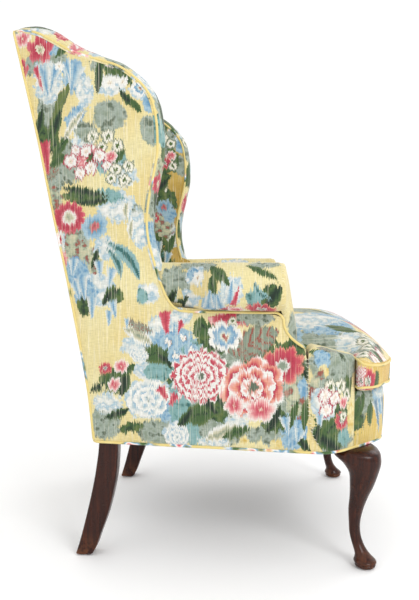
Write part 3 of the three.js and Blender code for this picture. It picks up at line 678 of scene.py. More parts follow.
ROLL_DESIGN = placed([
    # The outer side and top of the roll, from the wing to the front
    ("sage", 70, 365, 36, 40), ("sage", 20, 322, 40, 18), ("white", 50, 402, 36, 26),
    ("deep", 64, 440, 36, 14, 20), ("white", 26, 345, 22, 24, 10), ("blue", 32, 340, 12, 16),
    ("blue", -12, 410, 26, 26, 20), ("white", -52, 388, 24, 34), ("aqua", -100, 404, 20, 22),
    ("sage", -120, 322, 34, 14), ("deep", -130, 400, 20, 30), ("red", -50, 436, 24, 12),
    ("deep", -10, 446, 34, 10), ("gold", 60, 392, 8, 16), ("dark_leaf", 60, 412, 30, 10, -90),
    ("dark_leaf", 80, 398, 26, 8, -110), ("leaf", -26, 352, 34, 13, 90),
    ("leaf", -12, 372, 22, 10, 140), ("leaf", -112, 346, 40, 9, 55),
    ("dark_leaf", -134, 398, 32, 14, -100), ("aqua_arc", -108, 392, 26, 8, 80),
    ("bell", -4, 402, 15, 24, 10), ("bell", -26, 412, 13, 22, -20), ("bell", -50, 392, 14, 28, 10),
    ("flame", -60, 400, 8, 22, 30), ("red_ring", -112, 436, 36, 20, 30),
    ("pink_flower", -60, 438, 20, 12, 10), ("star", 20, 350, 12, 16, 20),
    # The inner side, down to the seat
    ("sage", 40, 250, 40, 28), ("white", -40, 262, 40, 24), ("blue", -100, 240, 32, 26, 20),
    ("deep", -20, 210, 40, 24), ("leaf", -60, 205, 40, 14, 50), ("dark_leaf", 50, 200, 40, 14, -60),
    ("crimson_flower", -20, 232, 30, 28, 30), ("blossom", 40, 232, 18, 17, 10),
    ("blossom", 68, 216, 17, 16, 50), ("primrose", -120, 205, 18, 17, 20),
    ("eye_flower", -110, 150, 30, 28, 40), ("dahlia", 0, 130, 50, 46, 10),
    ("leaf", -70, 110, 40, 14, -70), ("white", 70, 130, 30, 40), ("sky_flower", 70, 140, 24, 22, 70),
    ("sage", -80, 60, 50, 34), ("dark_leaf", 30, 60, 46, 14, 30), ("pink_flower", -30, 50, 24, 22, 20),
])

# For the front border and the cushion the second and third numbers are the piece's own X, and Z or Y.
# The strip along the front edge of the wing, as (motif, across, along, ...) from the arm to the crest
EDGE_DESIGN = placed([
    ("white", 190, 650, 40, 40), ("blue", 180, 700, 26, 34), ("deep", 210, 730, 26, 34),
    ("sage", 185, 770, 34, 40), ("red", 205, 810, 16, 30), ("beige", 180, 840, 26, 34),
    ("deep", 200, 880, 34, 26), ("aqua", 180, 920, 30, 34), ("sage", 200, 970, 40, 40),
    ("white", 185, 1020, 34, 40), ("deep", 210, 1050, 20, 34), ("sage", 180, 1090, 30, 34),
    ("white", 200, 1150, 40, 34), ("pink", 190, 1190, 34, 22), ("sage", 205, 1230, 30, 26),
    ("red", 180, 1240, 16, 24), ("white", 190, 1280, 40, 26), ("deep", 205, 1320, 30, 30),
    ("sage", 180, 1350, 34, 30), ("white", 200, 1400, 40, 34), ("leaf", 200, 690, 40, 12, 130),
    ("dark_leaf", 182, 790, 44, 10, 150), ("bell", 205, 745, 14, 24, 10),
    ("leaf", 212, 900, 40, 12, 140), ("crimson_flower", 180, 812, 24, 22, 30),
    ("dark_leaf", 184, 955, 44, 10, 150), ("primrose", 206, 985, 18, 17, 20),
    ("eye_flower", 190, 1030, 22, 20, 50), ("leaf", 200, 1080, 44, 10, 140),
    ("blossom", 190, 1160, 18, 17, 30), ("pink_flower", 206, 1200, 20, 18, 40),
    ("dark_leaf", 180, 1290, 44, 12, 130), ("leaf", 208, 1340, 36, 12, 120),
    ("blossom", 186, 1375, 18, 17, 10),
])

BORDER_DESIGN = placed([
    ("deep", -290, 350, 20, 60), ("sage", -120, 300, 50, 24), ("sage", 60, 340, 40, 30),
    ("deep", 280, 330, 16, 50), ("sage", 170, 300, 40, 24), ("leaf", -60, 360, 40, 13, 30),
    ("sage", -272, 360, 22, 34), ("leaf", -286, 352, 34, 10, 130), ("blue", -235, 355, 18, 34, 20),
    ("flame_blue", -218, 336, 15, 50, 10), ("flame_blue", -180, 350, 13, 40, -10),
    ("white", -200, 372, 50, 14), ("leaf", -262, 330, 30, 8, 150),
    ("flame_blue", -240, 320, 10, 40, 20), ("dark_leaf", -140, 330, 40, 14, 60),
    ("crimson_flower", -105, 345, 32, 30, 20), ("white", -70, 310, 30, 26),
    ("blossom", -60, 328, 18, 17, 10), ("blossom", -36, 312, 17, 16, 60),
    ("leaf", -10, 336, 40, 14, -50), ("sage", 20, 300, 40, 24), ("eye_flower", 40, 345, 30, 27, 40),
    ("dark_leaf", 85, 320, 40, 13, 80), ("flame_blue", 120, 345, 14, 42, 10),
    ("flame_blue", 148, 330, 13, 46, -10), ("primrose", 112, 296, 18, 16, 20),
    ("primrose", 140, 290, 17, 16, 70), ("red_ring", 196, 330, 34, 30, 20),
    ("leaf", 232, 350, 34, 11, 90), ("flame_blue", 262, 335, 12, 42, 10), ("white", 250, 300, 34, 20),
    ("pink_flower", -160, 290, 20, 18, 50),
])

CUSHION_DESIGN = placed([
    ("sage", -210, -240, 46, 80, 20), ("blue", -150, -270, 40, 80, 10), ("white", -120, -220, 50, 90),
    ("deep", -232, -190, 16, 70), ("white", -220, -330, 50, 50, 20), ("gold", -140, -360, 60, 34),
    ("sage", -270, -345, 34, 30), ("blue", -60, -300, 36, 70), ("sage", -10, -220, 50, 80),
    ("white", 50, -320, 50, 50), ("deep", -60, -120, 40, 50), ("aqua", 110, -250, 40, 60, 20),
    ("sage", 190, -300, 50, 50), ("white", 210, -180, 40, 60), ("blue", 120, -60, 50, 50),
    ("sage", -150, -50, 60, 50), ("white", -50, 20, 60, 50), ("sage", 80, 90, 60, 40),
    ("leaf", -262, -368, 34, 10, 50), ("dark_leaf", -215, -376, 40, 10, -20),
    ("leaf", -170, -300, 40, 12, 120), ("dark_leaf", -40, -380, 44, 13, 30),
    ("leaf", 10, -270, 44, 13, 90), ("veined_leaf", 80, -150, 50, 22, 70),
    ("leaf", 160, -370, 40, 13, -50), ("dark_leaf", 240, -350, 36, 12, 60),
    ("leaf", -100, -140, 44, 14, 40), ("dark_leaf", -180, -110, 44, 14, -80),
    ("primrose", -286, -330, 20, 18, 20), ("primrose", -252, -346, 19, 18, 70),
    ("primrose", -192, -352, 20, 18, 10), ("primrose", -222, -340, 18, 16, 50),
    ("pink_flower", -270, -310, 18, 16, 30), ("blossom", -242, -378, 20, 16, 20),
    ("blossom", -288, -358, 17, 15, 60), ("blossom", -160, -384, 20, 18, 10),
    ("crimson_flower", -90, -350, 36, 34, 40), ("eye_flower", 0, -330, 34, 32, 20),
    ("dahlia", 30, -60, 70, 66, 30), ("peony", -90, -40, 70, 64, 10),
    ("red_ring", 110, -330, 44, 40, 50), ("rosette", 180, -220, 46, 42),
    ("pink_flower", 160, -120, 30, 28, 20), ("sky_flower", -190, -180, 32, 30, 40),
    ("blossom", 230, -270, 19, 18, 20), ("blossom", 262, -300, 18, 17, 60),
    ("primrose", 280, -350, 19, 18, 10), ("crimson_flower", -160, 60, 36, 34, 10),
    ("eye_flower", 130, 40, 34, 32, 30), ("leaf", 0, 90, 44, 14, 20),
])

BOXING_DESIGN = placed([
    ("red", -350, 414, 36, 26), ("deep", -312, 410, 12, 26), ("dahlia", -374, 414, 32, 32, 20),
    ("red_ring", -340, 410, 32, 26, 60), ("primrose", -350, 411, 14, 12, 10),
    ("leaf", -310, 408, 26, 9, 130), ("dahlia", 372, 420, 40, 34, 50), ("leaf", 320, 414, 30, 11, 110),
    ("white", 120, 410, 40, 18), ("leaf", 80, 416, 34, 11, 50), ("blossom", 110, 414, 18, 17, 20),
    ("crimson_flower", -30, 412, 30, 26, 30), ("dark_leaf", -75, 412, 34, 11, -40),
    ("sage", 20, 410, 30, 20), ("eye_flower", -150, 412, 26, 24, 20), ("leaf", -190, 410, 34, 11, 60),
    ("primrose", 200, 412, 18, 17, 20), ("primrose", 228, 408, 17, 16, 80), ("sage", 510, 420, 40, 24),
    ("blossom", 540, 420, 18, 18, 10), ("pink_flower", 600, 424, 24, 22, 30),
    ("leaf", 640, 420, 36, 12, -40), ("white", 700, 420, 30, 20), ("sky_flower", 710, 424, 24, 22, 40),
])


# Pieces of the cover

def nearest(line, y, z):
    return min(math.hypot(y - p.y, z - p.z) for p in line)


def panel_edges():
    heights = steps(BASE_Z, 1.157, 150)
    line = [Vector((0, front_y(z), z)) for z in heights]
    line += [Vector((0, rear_y(z), z)) for z in heights[::3]]
    line += [Vector((0, y, BASE_Z)) for y in steps(-0.24, 0.25, 30)]
    line += [Vector((0, y, 0.559)) for y in steps(-0.155, 0.07, 24)]
    return line


def outside_panel(side, label, material):
    heights = steps(BASE_Z, 0.548, 26) + steps(0.553, 0.568, 6) + steps(0.576, 1.157, 54)
    edges = panel_edges()
    face, back, uv = [], [], []
    for z in heights:
        face.append([]), back.append([]), uv.append([])
        for t in steps(0, 1, 44):
            y = lerp(front_y(z), rear_y(z), t)
            far = nearest(edges, y, z)
            crown = 0.006 * smooth(far / 0.07) - 0.0015 * (1 - smooth(far / 0.012))
            pull = 0.0009 * ruffle(y * 9, z * 6, side + 2) * smooth(far / 0.02)
            x = side_x(y, z) + crown + pull
            face[-1].append(Vector((side * x, y, z)))
            back[-1].append(Vector((side * (side_x(y, z) - 2 * SKIN), y, z)))
            uv[-1].append((-y, z))
    obj = sheet(f"outside_panel_{label}_cover", face, back, uv)
    return settle(obj, material, nodes=[f"outside_panel_{label}"])


def wing_strip():
    """Points up the wing's edge from the arm's roll to the crest, each with the way out from it."""
    line = [p for p in wing_line if p.z > 0.640]
    made, length = [], 0.0
    for i, p in enumerate(line):
        before, after = line[max(i - 1, 0)], line[min(i + 1, len(line) - 1)]
        along = (after - before).normalized()
        if i:
            length += (p - line[i - 1]).length
        made.append((p, Vector((0, -along.z, along.y)), length))
    return made


wing_crown = through(
    (0.09, 0.0120), (0.20, 0.0125), (0.24, 0.0150), (0.28, 0.0195), (0.33, 0.0235), (0.37, 0.0210),
    (0.40, 0.0150), (0.42, 0.0080))


def wing_boxing(side, label, material):
    face, back, uv = [], [], []
    for p, out, length in wing_strip():
        face.append([]), back.append([]), uv.append([])
        for t in steps(0, 1, 16):
            rise = wing_crown(p.y) * math.sin(t * math.pi) ** 0.62
            rise += 0.0008 * ruffle(length * 30, t * 5, side + 5) * math.sin(t * math.pi)
            top = p + out * rise
            x = side_x(p.y, p.z) - 0.0005 - t * (WING - 0.001)
            face[-1].append(Vector((side * x, top.y, top.z)))
            low = p - out * 0.006
            back[-1].append(Vector((side * x, low.y, low.z)))
            uv[-1].append((-0.16 - t * WING, 0.62 + length))
    obj = sheet(f"wing_boxing_{label}_cover", face, back, uv)
    return settle(obj, material, nodes=[f"wing_boxing_{label}"])


def inside_wing(side, label, material):
    face, back, uv = [], [], []
    for z in steps(0.400, 1.112, 56):
        front = ARM_REAR + 0.006 if z < 0.655 else front_y(z) + 0.002
        rear = max(back_face_y(z) + 0.016, front + 0.02)
        face.append([]), back.append([]), uv.append([])
        for t in steps(0, 1, 18):
            y = lerp(front, rear, t)
            edge = min(y - front, rear - y)
            crown = 0.007 * smooth(edge / 0.04)
            pull = 0.001 * ruffle(y * 14, z * 8, side + 9) * smooth(edge / 0.02)
            x = side_x(y, z) - WING
            face[-1].append(Vector((side * (x - crown - pull), y, z)))
            back[-1].append(Vector((side * (x + 0.016), y, z)))
            uv[-1].append((-y, z))
    obj = sheet(f"inside_wing_{label}_cover", face, back, uv)
    return settle(obj, material, nodes=[f"inside_wing_{label}"])


def roll_at(y):
    """The roll draws inwards and narrows as it runs into the wing: its middle, half width and height."""
    t = smooth((y + 0.050) / 0.142)
    return lerp(ROLL_X, 0.271, t), lerp(ROLL_RADIUS, 0.0325, t), lerp(ROLL_RADIUS, 0.0495, t)


def facing_y(x, z):
    """The facing leans forward on its inner side as it goes down."""
    return ARM_FRONT - 0.0004 - 0.17 * (0.666 - z) * smooth((0.350 - x) / 0.06)


def arm_pad(side, label, material):
    rings, uvs = [], []
    stations = steps(ARM_FRONT + 0.001, -0.140, 4) + steps(-0.130, 0.110, 40)
    for y in stations:
        centre, half, tall = roll_at(y)
        lip = 0.0022 * (1 - smooth((y - ARM_FRONT) / 0.010))
        taper = 0.06 * (y - ARM_FRONT)
        wall = [(0.256 - taper, DECK_Z + 0.008), (0.255 - taper, 0.420), (0.259 - taper * 0.7, 0.460),
                (0.263 - taper * 0.5, 0.500), (0.269 - taper * 0.3, 0.535), (0.279, 0.562)]
        ring, girth = [], 0.0
        outline = [Vector((x, y, z)) for x, z in wall]
        for degrees in steps(205, -76, 34):
            turn = math.radians(degrees)
            crease = 1 + 0.007 * ruffle(y * 22, turn * 1.5, side)
            at_x = centre + (half - lip) * crease * math.cos(turn)
            at_z = ROLL_Z + (tall - lip) * crease * math.sin(turn)
            outline.append(Vector((at_x, y, at_z)))
        inside = [(0.312, 0.575), (0.296, 0.560), (0.284, 0.500), (0.276, 0.440), (0.272, DECK_Z + 0.008)]
        outline += [Vector((x - taper * 0.5, y, z)) for x, z in inside]
        hold = 1 - smooth((y - ARM_FRONT) / 0.070)
        for i, p in enumerate(outline):
            if i:
                girth += (p - outline[i - 1]).length
            forward = (facing_y(p.x, max(p.z, 0.486)) - ARM_FRONT) * hold
            ring.append(Vector((side * p.x, p.y + forward, p.z)))
            uvs.append((-y, girth))
        rings.append(ring)
    obj = loft(f"arm_pad_{label}_cover", rings, uvs, 50)
    return settle(obj, material, nodes=[f"arm_pad_{label}"])


def facing_outline(radius):
    outline = []
    for degrees in steps(205, -74, 40):
        turn = math.radians(degrees)
        outline.append((ROLL_X + radius * math.cos(turn), ROLL_Z + radius * math.sin(turn)))
    outline += [(0.3325, 0.553), (0.331, 0.530), (0.329, 0.505), (0.322, 0.490), (0.300, 0.486)]
    outline += [(0.272, 0.488), (0.265, 0.500), (0.2665, 0.525), (0.274, 0.560)]
    return outline


def facing_foot(side):
    """The cloth that runs from the facing's lower end down to the back of the corner post."""
    face, back, uv = [], [], []
    for z in steps(0.474, 0.541, 18):
        y = front_y(z) - 0.0005
        face.append([]), back.append([]), uv.append([])
        for t in steps(0, 1, 12):
            x = lerp(side_x(y, z) - 0.002, 0.264, t)
            crown = 0.003 * math.sin(math.pi * t)
            face[-1].append(Vector((side * x, y - crown, z + crown / 2)))
            back[-1].append(Vector((side * x, y + 0.004, z - 0.002)))
            uv[-1].append((x - 0.6, z - 0.14))
    return sheet("foot", face, back, uv)


# How far the facing stands out, and its width as a share of its outline's, from its edge to its middle
FACING_CROWN = [(0.004, 1), (0, 1), (-0.0035, 0.97), (-0.0055, 0.90), (-0.0070, 0.7), (-0.0075, 0.4)]


def arm_facing(side, label, material):
    outline = facing_outline(ROLL_RADIUS - 0.0015)
    middle_x, middle_z = 0.318, 0.585
    rings, uvs = [], []
    for depth, share in FACING_CROWN:
        ring = []
        for x, z in outline:
            at_x, at_z = lerp(middle_x, x, share), lerp(middle_z, z, share)
            ring.append(Vector((side * at_x, facing_y(at_x, at_z) + depth, at_z)))
            uvs.append((at_x - 0.6, at_z - 0.14))
        rings.append(ring)
    parts = [loft("facing", rings, uvs, 60), facing_foot(side)]
    obj = joined(f"arm_facing_{label}_cover", parts)
    return settle(obj, material, nodes=[f"arm_facing_{label}"])


# The corner post: its top, the radius of its top edge, its back and its inner side
POST_TOP, POST_RIM, POST_BACK, POST_INNER = 0.485, 0.015, -0.2105, 0.264


def post_plan(rear):
    """The corner post's outline at one height: its outer side, then across and back by its inner side."""
    plan = [(post_x(y), y) for y in steps(-0.3120, rear, 16)]
    plan += [(lerp(post_x(rear), POST_INNER, t), rear) for t in (0.3, 0.65)]
    plan += [(POST_INNER, y) for y in steps(rear, -0.300, 7)]
    return plan + [(0.2665, -0.308), (0.273, -0.3125), (0.284, -0.3140)]


def corner_post(side, label, material):
    rings, uvs = [], []
    levels = [(z, 0) for z in steps(BASE_Z + 0.0005, POST_TOP - POST_RIM, 24)]
    for a in steps(0.15, math.pi / 2, 8):
        levels.append((POST_TOP - POST_RIM * (1 - math.sin(a)), POST_RIM * (1 - math.cos(a))))
    for height, inset in levels:
        rear = min(POST_BACK, front_y(height) + 0.0005) if height < 0.47 else POST_BACK
        plan = post_plan(rear)
        ring, girth = [], 0.0
        up = smooth((height - 0.33) / 0.15)
        for i, (x, y) in enumerate(plan):
            drop = 0.18 * (y + 0.211) * up
            inward = (Vector((0.302, -0.262)) - Vector((x, y))).normalized() * inset
            at_x, at_y = x + inward.x, y + inward.y
            if x > 0.29:
                fade = smooth((rear - y) / 0.020)
                at_x += 0.0035 * math.sin(math.pi * clamp((height - BASE_Z) / 0.22)) * fade
                at_x += 0.0010 * math.sin(y * 380 + side) * smooth((height - 0.425) / 0.03) * fade
            ring.append(Vector((side * at_x, at_y, height + drop)))
            if i:
                girth += math.hypot(x - plan[i - 1][0], y - plan[i - 1][1])
            uvs.append((0.312 - girth, height + drop + inset))
        rings.append(ring)
    obj = loft(f"corner_post_cover_{label}_cover", rings, uvs, 50)
    return settle(obj, material, nodes=[f"corner_post_cover_{label}"])


def front_border(material):
    end = 0.2945
    rise = through((0, 0.0), (0.28, -0.0035), (0.62, -0.0045), (0.84, -0.002), (0.93, 0.003), (1, 0.016))
    level = through((0, BASE_Z), (0.5, 0.320), (0.8, 0.361), (0.92, 0.379), (1, DECK_Z - 0.0005))
    face, back, uv = [], [], []
    for t in steps(0, 1, 22):
        face.append([]), back.append([]), uv.append([])
        for x in steps(-end, end, 96):
            hold = 1 - (abs(x) / end) ** 8
            gather = 0.0011 * math.sin(x * 190 + 3 * math.sin(x * 23)) * smooth((t - 0.45) / 0.4) * hold
            y = border_y(abs(x)) + rise(t) * hold + gather
            face[-1].append(Vector((x, y, level(t))))
            inward = math.copysign(0.006 * min(1, (abs(x) / 0.25) ** 4), x)
            back_y = border_y(abs(x)) + 0.010 + 0.012 * t
            back[-1].append(Vector((x - inward, back_y, min(level(t), DECK_Z - 0.006))))
            uv[-1].append((x, level(t)))
    obj = sheet("front_border_cover", face, back, uv)
    return settle(obj, material, nodes=["front_border"])


def inside_back(material):
    line = spline([(0, y, z) for y, z in BACK_FACE], 72)
    face, back, uv, length = [], [], [], 0.0
    for i, p in enumerate(line):
        before, after = line[max(i - 1, 0)], line[min(i + 1, len(line) - 1)]
        along = (after - before).normalized()
        inward = Vector((0, along.z, -along.y))
        length += (p - line[i - 1]).length if i else 0
        half = 0.2242 if p.z < 1.04 else lerp(0.2242, 0.2158, (p.z - 1.04) / (TOP_Z - 1.04))
        full = 1 if p.y < 0.325 else 0.35
        face.append([]), back.append([]), uv.append([])
        for u in steps(-1, 1, 36):
            crown = (0.013 * (1 - u * u) + 0.005 * (1 - smooth((abs(u) - 0.84) / 0.16)) - 0.005) * full
            crown += 0.0011 * ruffle(u * 4, length * 9, 3) * (1 - u * u) * full
            top = p - inward * crown
            face[-1].append(Vector((u * half, top.y, top.z)))
            low = p + inward * 0.024
            back[-1].append(Vector((u * half, low.y, low.z)))
            uv[-1].append((u * half, 0.36 + length))
    obj = sheet("inside_back_cover", face, back, uv)
    return settle(obj, material, nodes=["inside_back"])


def outside_back(material):
    face, back, uv = [], [], []
    for z in steps(BASE_Z, 1.1575, 60):
        half = side_x(rear_y(z), z) - 0.001
        face.append([]), back.append([]), uv.append([])
        for u in steps(-1, 1, 30):
            edge = min((1 - abs(u)) * half, z - BASE_Z, 1.1575 - z)
            crown = 0.004 * smooth(edge / 0.06) + 0.0006 * ruffle(u * 4, z * 8, 12) * smooth(edge / 0.03)
            face[-1].append(Vector((u * half, rear_y(z) + crown - 0.001, z)))
            back[-1].append(Vector((u * half, rear_y(z) - 0.007, z)))
            uv[-1].append((u * half, z))
    obj = sheet("outside_back_cover", face, back, uv)
    return settle(obj, material, nodes=["outside_back"])


def deck_half(y):
    return lerp(0.205, 0.240, (y + 0.366) / 0.066) if y < -0.300 else 0.246 - 0.06 * (y + 0.300)


DECK_FRONT, DECK_REAR = -0.366, 0.158


def seat_deck(material):
    face, back, uv = [], [], []
    for y in steps(DECK_FRONT, DECK_REAR, 36):
        face.append([]), back.append([]), uv.append([])
        for u in steps(-1, 1, 30):
            x = u * deck_half(y)
            edge = min((1 - abs(u)) * deck_half(y), y - DECK_FRONT, DECK_REAR - y)
            z = DECK_Z - 0.005 * (1 - smooth(edge / 0.035)) - 0.0004 * (1 + ruffle(x * 12, y * 12, 4))
            face[-1].append(Vector((x, y, z)))
            back[-1].append(Vector((x, y, 0.363)))
            uv[-1].append((x, y))
    obj = sheet("seat_deck_cover", face, back, uv)
    return settle(obj, material, nodes=["seat_deck"])


DUST_FRONT, DUST_REAR = -0.379, 0.236


def dust_half(y):
    if y > -0.236:
        return lerp(0.235, 0.280, (0.236 - y) / 0.472)
    if y > -0.248:
        return lerp(0.280, 0.252, (-0.236 - y) / 0.012)
    if y > -0.304:
        return 0.2515
    if y > -0.362:
        return lerp(0.250, 0.190, (-0.304 - y) / 0.058)
    return lerp(0.190, 0.020, (-0.362 - y) / 0.018)


def dust_cover(material):
    """The thin cloth tacked under the seat, sagging a little between its edges."""
    ys = steps(DUST_REAR, -0.236, 34) + [-0.242] + steps(-0.248, -0.304, 6)
    ys += steps(-0.318, -0.362, 4) + [DUST_FRONT]
    face, back, uv = [], [], []
    for y in ys:
        face.append([]), back.append([]), uv.append([])
        for u in steps(-1, 1, 30):
            x = u * dust_half(y)
            edge = min((1 - abs(u)) * dust_half(y), DUST_REAR - y, y - DUST_FRONT)
            sag = 0.004 * smooth(edge / 0.16) + 0.0006 * math.sin(u * 40) * (1 - smooth(edge / 0.03))
            face[-1].append(Vector((x, y, 0.2665 - sag)))
            back[-1].append(Vector((x, y, 0.2675 - sag)))
            uv[-1].append((x, y))
    obj = sheet("dust_cover_cloth", face, back, uv)
    settle(obj, material, nodes=["dust_cover"])
    return obj


# The loose cushion

CUSHION_EAR = through(
    (-0.424, 0.090), (-0.418, 0.168), (-0.405, 0.222), (-0.385, 0.275), (-0.370, 0.300), (-0.350, 0.322),
    (-0.332, 0.330), (-0.318, 0.326))


def cushion_half(y):
    return CUSHION_EAR(y) if y < -0.315 else 0.250 - 0.045 * (y + 0.310)


def cushion_plan(inset):
    """The cushion's outline seen from above, from the back round by its front."""
    right = [(cushion_half(y), y) for y in steps(0.150, -0.306, 20)]
    right += [(0.256, -0.3135), (0.276, -0.3150), (0.300, -0.3160), (0.318, -0.3185), (0.3275, -0.325)]
    right += [(CUSHION_EAR(y), y) for y in (-0.334, -0.344, -0.356, -0.370, -0.385, -0.398, -0.407, -0.415)]
    right += [(0.140, -0.4195), (0.110, -0.4225), (0.080, -0.4235), (0.040, -0.4240), (0, -0.4240)]
    line = [(-x, y) for x, y in right[:-1]] + [(x, y) for x, y in reversed(right)]
    middle = Vector((0, -0.14))
    made = []
    for x, y in line:
        p = Vector((x, y))
        made.append(p - (p - middle).normalized() * inset)
    return made


def cushion_edge(y):
    return min(0.457, lerp(0.436, 0.457, (y + 0.424) / 0.124))


def cushion_floor(y):
    return min(DECK_Z + 0.001, lerp(0.374, DECK_Z + 0.001, (y + 0.424) / 0.034))


def cushion_form():
    """The cushion's closed form, a little smaller than it ends up."""
    outline = resample([Vector((0, p.x, p.y)) for p in cushion_plan(0.004)], 260)
    face, back, uv = [], [], []
    ys = steps(-0.419, -0.322, 22) + [-0.3200] + steps(-0.3100, 0.146, 60)
    for y in ys:
        half = cushion_half(max(y, -0.4225)) - 0.006
        edge, floor = cushion_edge(y) - 0.002, cushion_floor(y) + 0.002
        face.append([]), back.append([]), uv.append([])
        for u in steps(-1, 1, 60):
            far = nearest(outline, u * half, y)
            crown = (0.528 - edge) * (1 - (1 - clamp(far / 0.215)) ** 2.1)
            face[-1].append(Vector((u * half, y, edge + crown)))
            back[-1].append(Vector((u * half, y, floor)))
            uv[-1].append((0, 0))
    return sheet("seat_cushion_cover", face, back, uv)


def remesh(obj, size):
    modifier = obj.modifiers.new("remesh", "REMESH")
    modifier.mode = "VOXEL"
    modifier.voxel_size = size
    modifier.use_smooth_shade = True
    bake_modifiers(obj)


def bake_modifiers(obj):
    """Replaces the mesh with what its modifiers make of it."""
    depsgraph = bpy.context.evaluated_depsgraph_get()
    made = bpy.data.meshes.new_from_object(obj.evaluated_get(depsgraph))
    obj.modifiers.clear()
    obj.data = made


def inflate(obj, pressure, cap, frames=20):
    """Fills the cover by a cloth simulation, with no point moved further than the cap."""
    start = [v.co.copy() for v in obj.data.vertices]
    cloth = obj.modifiers.new("cloth", "CLOTH")
    settings = cloth.settings
    settings.quality = 5
    settings.use_pressure = True
    settings.uniform_pressure_force = pressure
    settings.effector_weights.gravity = 0
    settings.tension_stiffness = 25
    settings.shear_stiffness = 12
    settings.bending_stiffness = 0.6
    cloth.point_cache.frame_start = 1
    cloth.point_cache.frame_end = frames
    for at in range(1, frames + 1):
        bpy.context.scene.frame_set(at)
    depsgraph = bpy.context.evaluated_depsgraph_get()
    made = bpy.data.meshes.new_from_object(obj.evaluated_get(depsgraph))
    obj.modifiers.clear()
    for v, was in zip(made.vertices, start):
        move = v.co - was
        if move.length > cap:
            v.co = was + move.normalized() * cap
    obj.data = made
    bpy.context.scene.frame_set(1)


def relax(obj, share, repeat):
    modifier = obj.modifiers.new("relax", "SMOOTH")
    modifier.factor = share
    modifier.iterations = repeat
    bake_modifiers(obj)


def keep_clear(obj):
    """Holds the cushion off the deck, the arms, the corner posts and the back."""
    for v in obj.data.vertices:
        x, y, z = v.co
        z = max(z, cushion_floor(y) + 0.0004)
        if y > -0.312:
            limit = cushion_half(y) + 0.0025
            x = max(-limit, min(limit, x))
        elif abs(x) > 0.262:
            y = min(y, -0.3158)
        v.co = (x, min(y, 0.155), z)


def cushion_cloth(obj):
    """Cloth coordinates: flat on the top and bottom, and from the front's middle round the sides."""
    line = cushion_plan(0)
    tree = KDTree(len(line))
    girth, at = [0.0], 0.0
    for i, p in enumerate(line):
        tree.insert((p.x, p.y, 0), i)
        at += (p - line[i - 1]).length if i else 0
        girth.append(at)
    tree.balance()
    middle = girth[tree.find((0, -0.424, 0))[1] + 1]
    mesh = obj.data
    layer = mesh.uv_layers.get("cloth") or mesh.uv_layers.new(name="cloth")
    for face in mesh.polygons:
        flat = face.center.z > cushion_edge(face.center.y) + 0.001 or abs(face.normal.z) > 0.8
        face.material_index = 0 if flat else 1
        for index in face.loop_indices:
            co = mesh.vertices[mesh.loops[index].vertex_index].co
            if flat:
                layer.data[index].uv = (co.x, co.y)
            else:
                spot = line[tree.find((co.x, co.y, 0))[1]]
                along = girth[tree.find((co.x, co.y, 0))[1] + 1] - middle
                along += (co.x - spot.x) if abs(co.y) > 0.33 else (spot.y - co.y) * (1 if co.x < 0 else -1)
                layer.data[index].uv = (along, co.z)


def seat_cushion(cover, boxing):
    obj = cushion_form()
    remesh(obj, 0.0055)
    relax(obj, 0.5, 6)
    inflate(obj, 4.0, 0.007)
    relax(obj, 0.4, 4)
    divide = obj.modifiers.new("divide", "SUBSURF")
    divide.levels = divide.render_levels = 1
    bake_modifiers(obj)
    keep_clear(obj)
    obj.data.shade_smooth()
    settle(obj, cover, body="cushion", nodes=["seat_cushion"])
    obj.data.materials.append(boxing)
    cushion_cloth(obj)
    return obj


def on_surface(tree, points, height):
    """The points brought onto a surface, level with the height each should be at."""
    made = []
    for p in points:
        at, normal, _, _ = tree.find_nearest(Vector((p.x, p.y, height(p.y))))
        flat = Vector((normal.x, normal.y, 0))
        made.append(at + flat * 0.0008 if flat.length > 0.1 else at)
    return made


def even(points, window):
    """The closed line of points with its small bumps averaged out."""
    count, made = len(points), []
    for i in range(count):
        near = [points[(i + k) % count] for k in range(-window, window + 1)]
        made.append(sum(near, Vector()) / len(near))
    return made


def cushion_welts(cushion, material):
    mesh = cushion.data
    tree = BVHTree.FromPolygons([v.co for v in mesh.vertices], [p.vertices for p in mesh.polygons])
    plan = [Vector((p.x, p.y, 0)) for p in cushion_plan(-0.004)]
    plan.append(plan[0])
    plan = resample(plan, 420)[:-1]
    lines = {"top": lambda y: cushion_edge(y) + 0.001, "bottom": lambda y: cushion_floor(y) + 0.010}
    for label, height in lines.items():
        line = even(on_surface(tree, plan, height), 2)
        welt = tube(f"cushion_welt_{label}", line, WELT, sides=8, closed=True)
        settle(welt, material, body="cushion")


# Welts and stitches on the frame

def wing_welts(side, label, material):
    """One cord runs from the crest down the wing, under the roll and down to the corner post."""
    out = [(0.3415, -0.2050, 0.4840)]
    out += [(side_x(front_y(z), z) + 0.0005, front_y(z) - 0.0015, z) for z in (0.489, 0.496)]
    out += [(side_x(front_y(z), z) - 0.0010, front_y(z) - 0.0015, z) for z in (0.506, 0.519, 0.533, 0.546)]
    out += [(side_x(y, 0.558), y, 0.5570) for y in steps(-0.145, 0.04, 8)]
    out += [(side_x(p.y, p.z) - 0.0015, p.y, p.z) for p in wing_line]
    settle(tube(f"wing_welt_outer_{label}", spline(mirrored(out, side), 250), WELT), material)
    upper = [p for p, _, _ in wing_strip()]
    inner = [(side_x(p.y, p.z) - WING, p.y, p.z) for p in upper]
    settle(tube(f"wing_welt_inner_{label}", spline(mirrored(inner, side), 120), WELT), material)


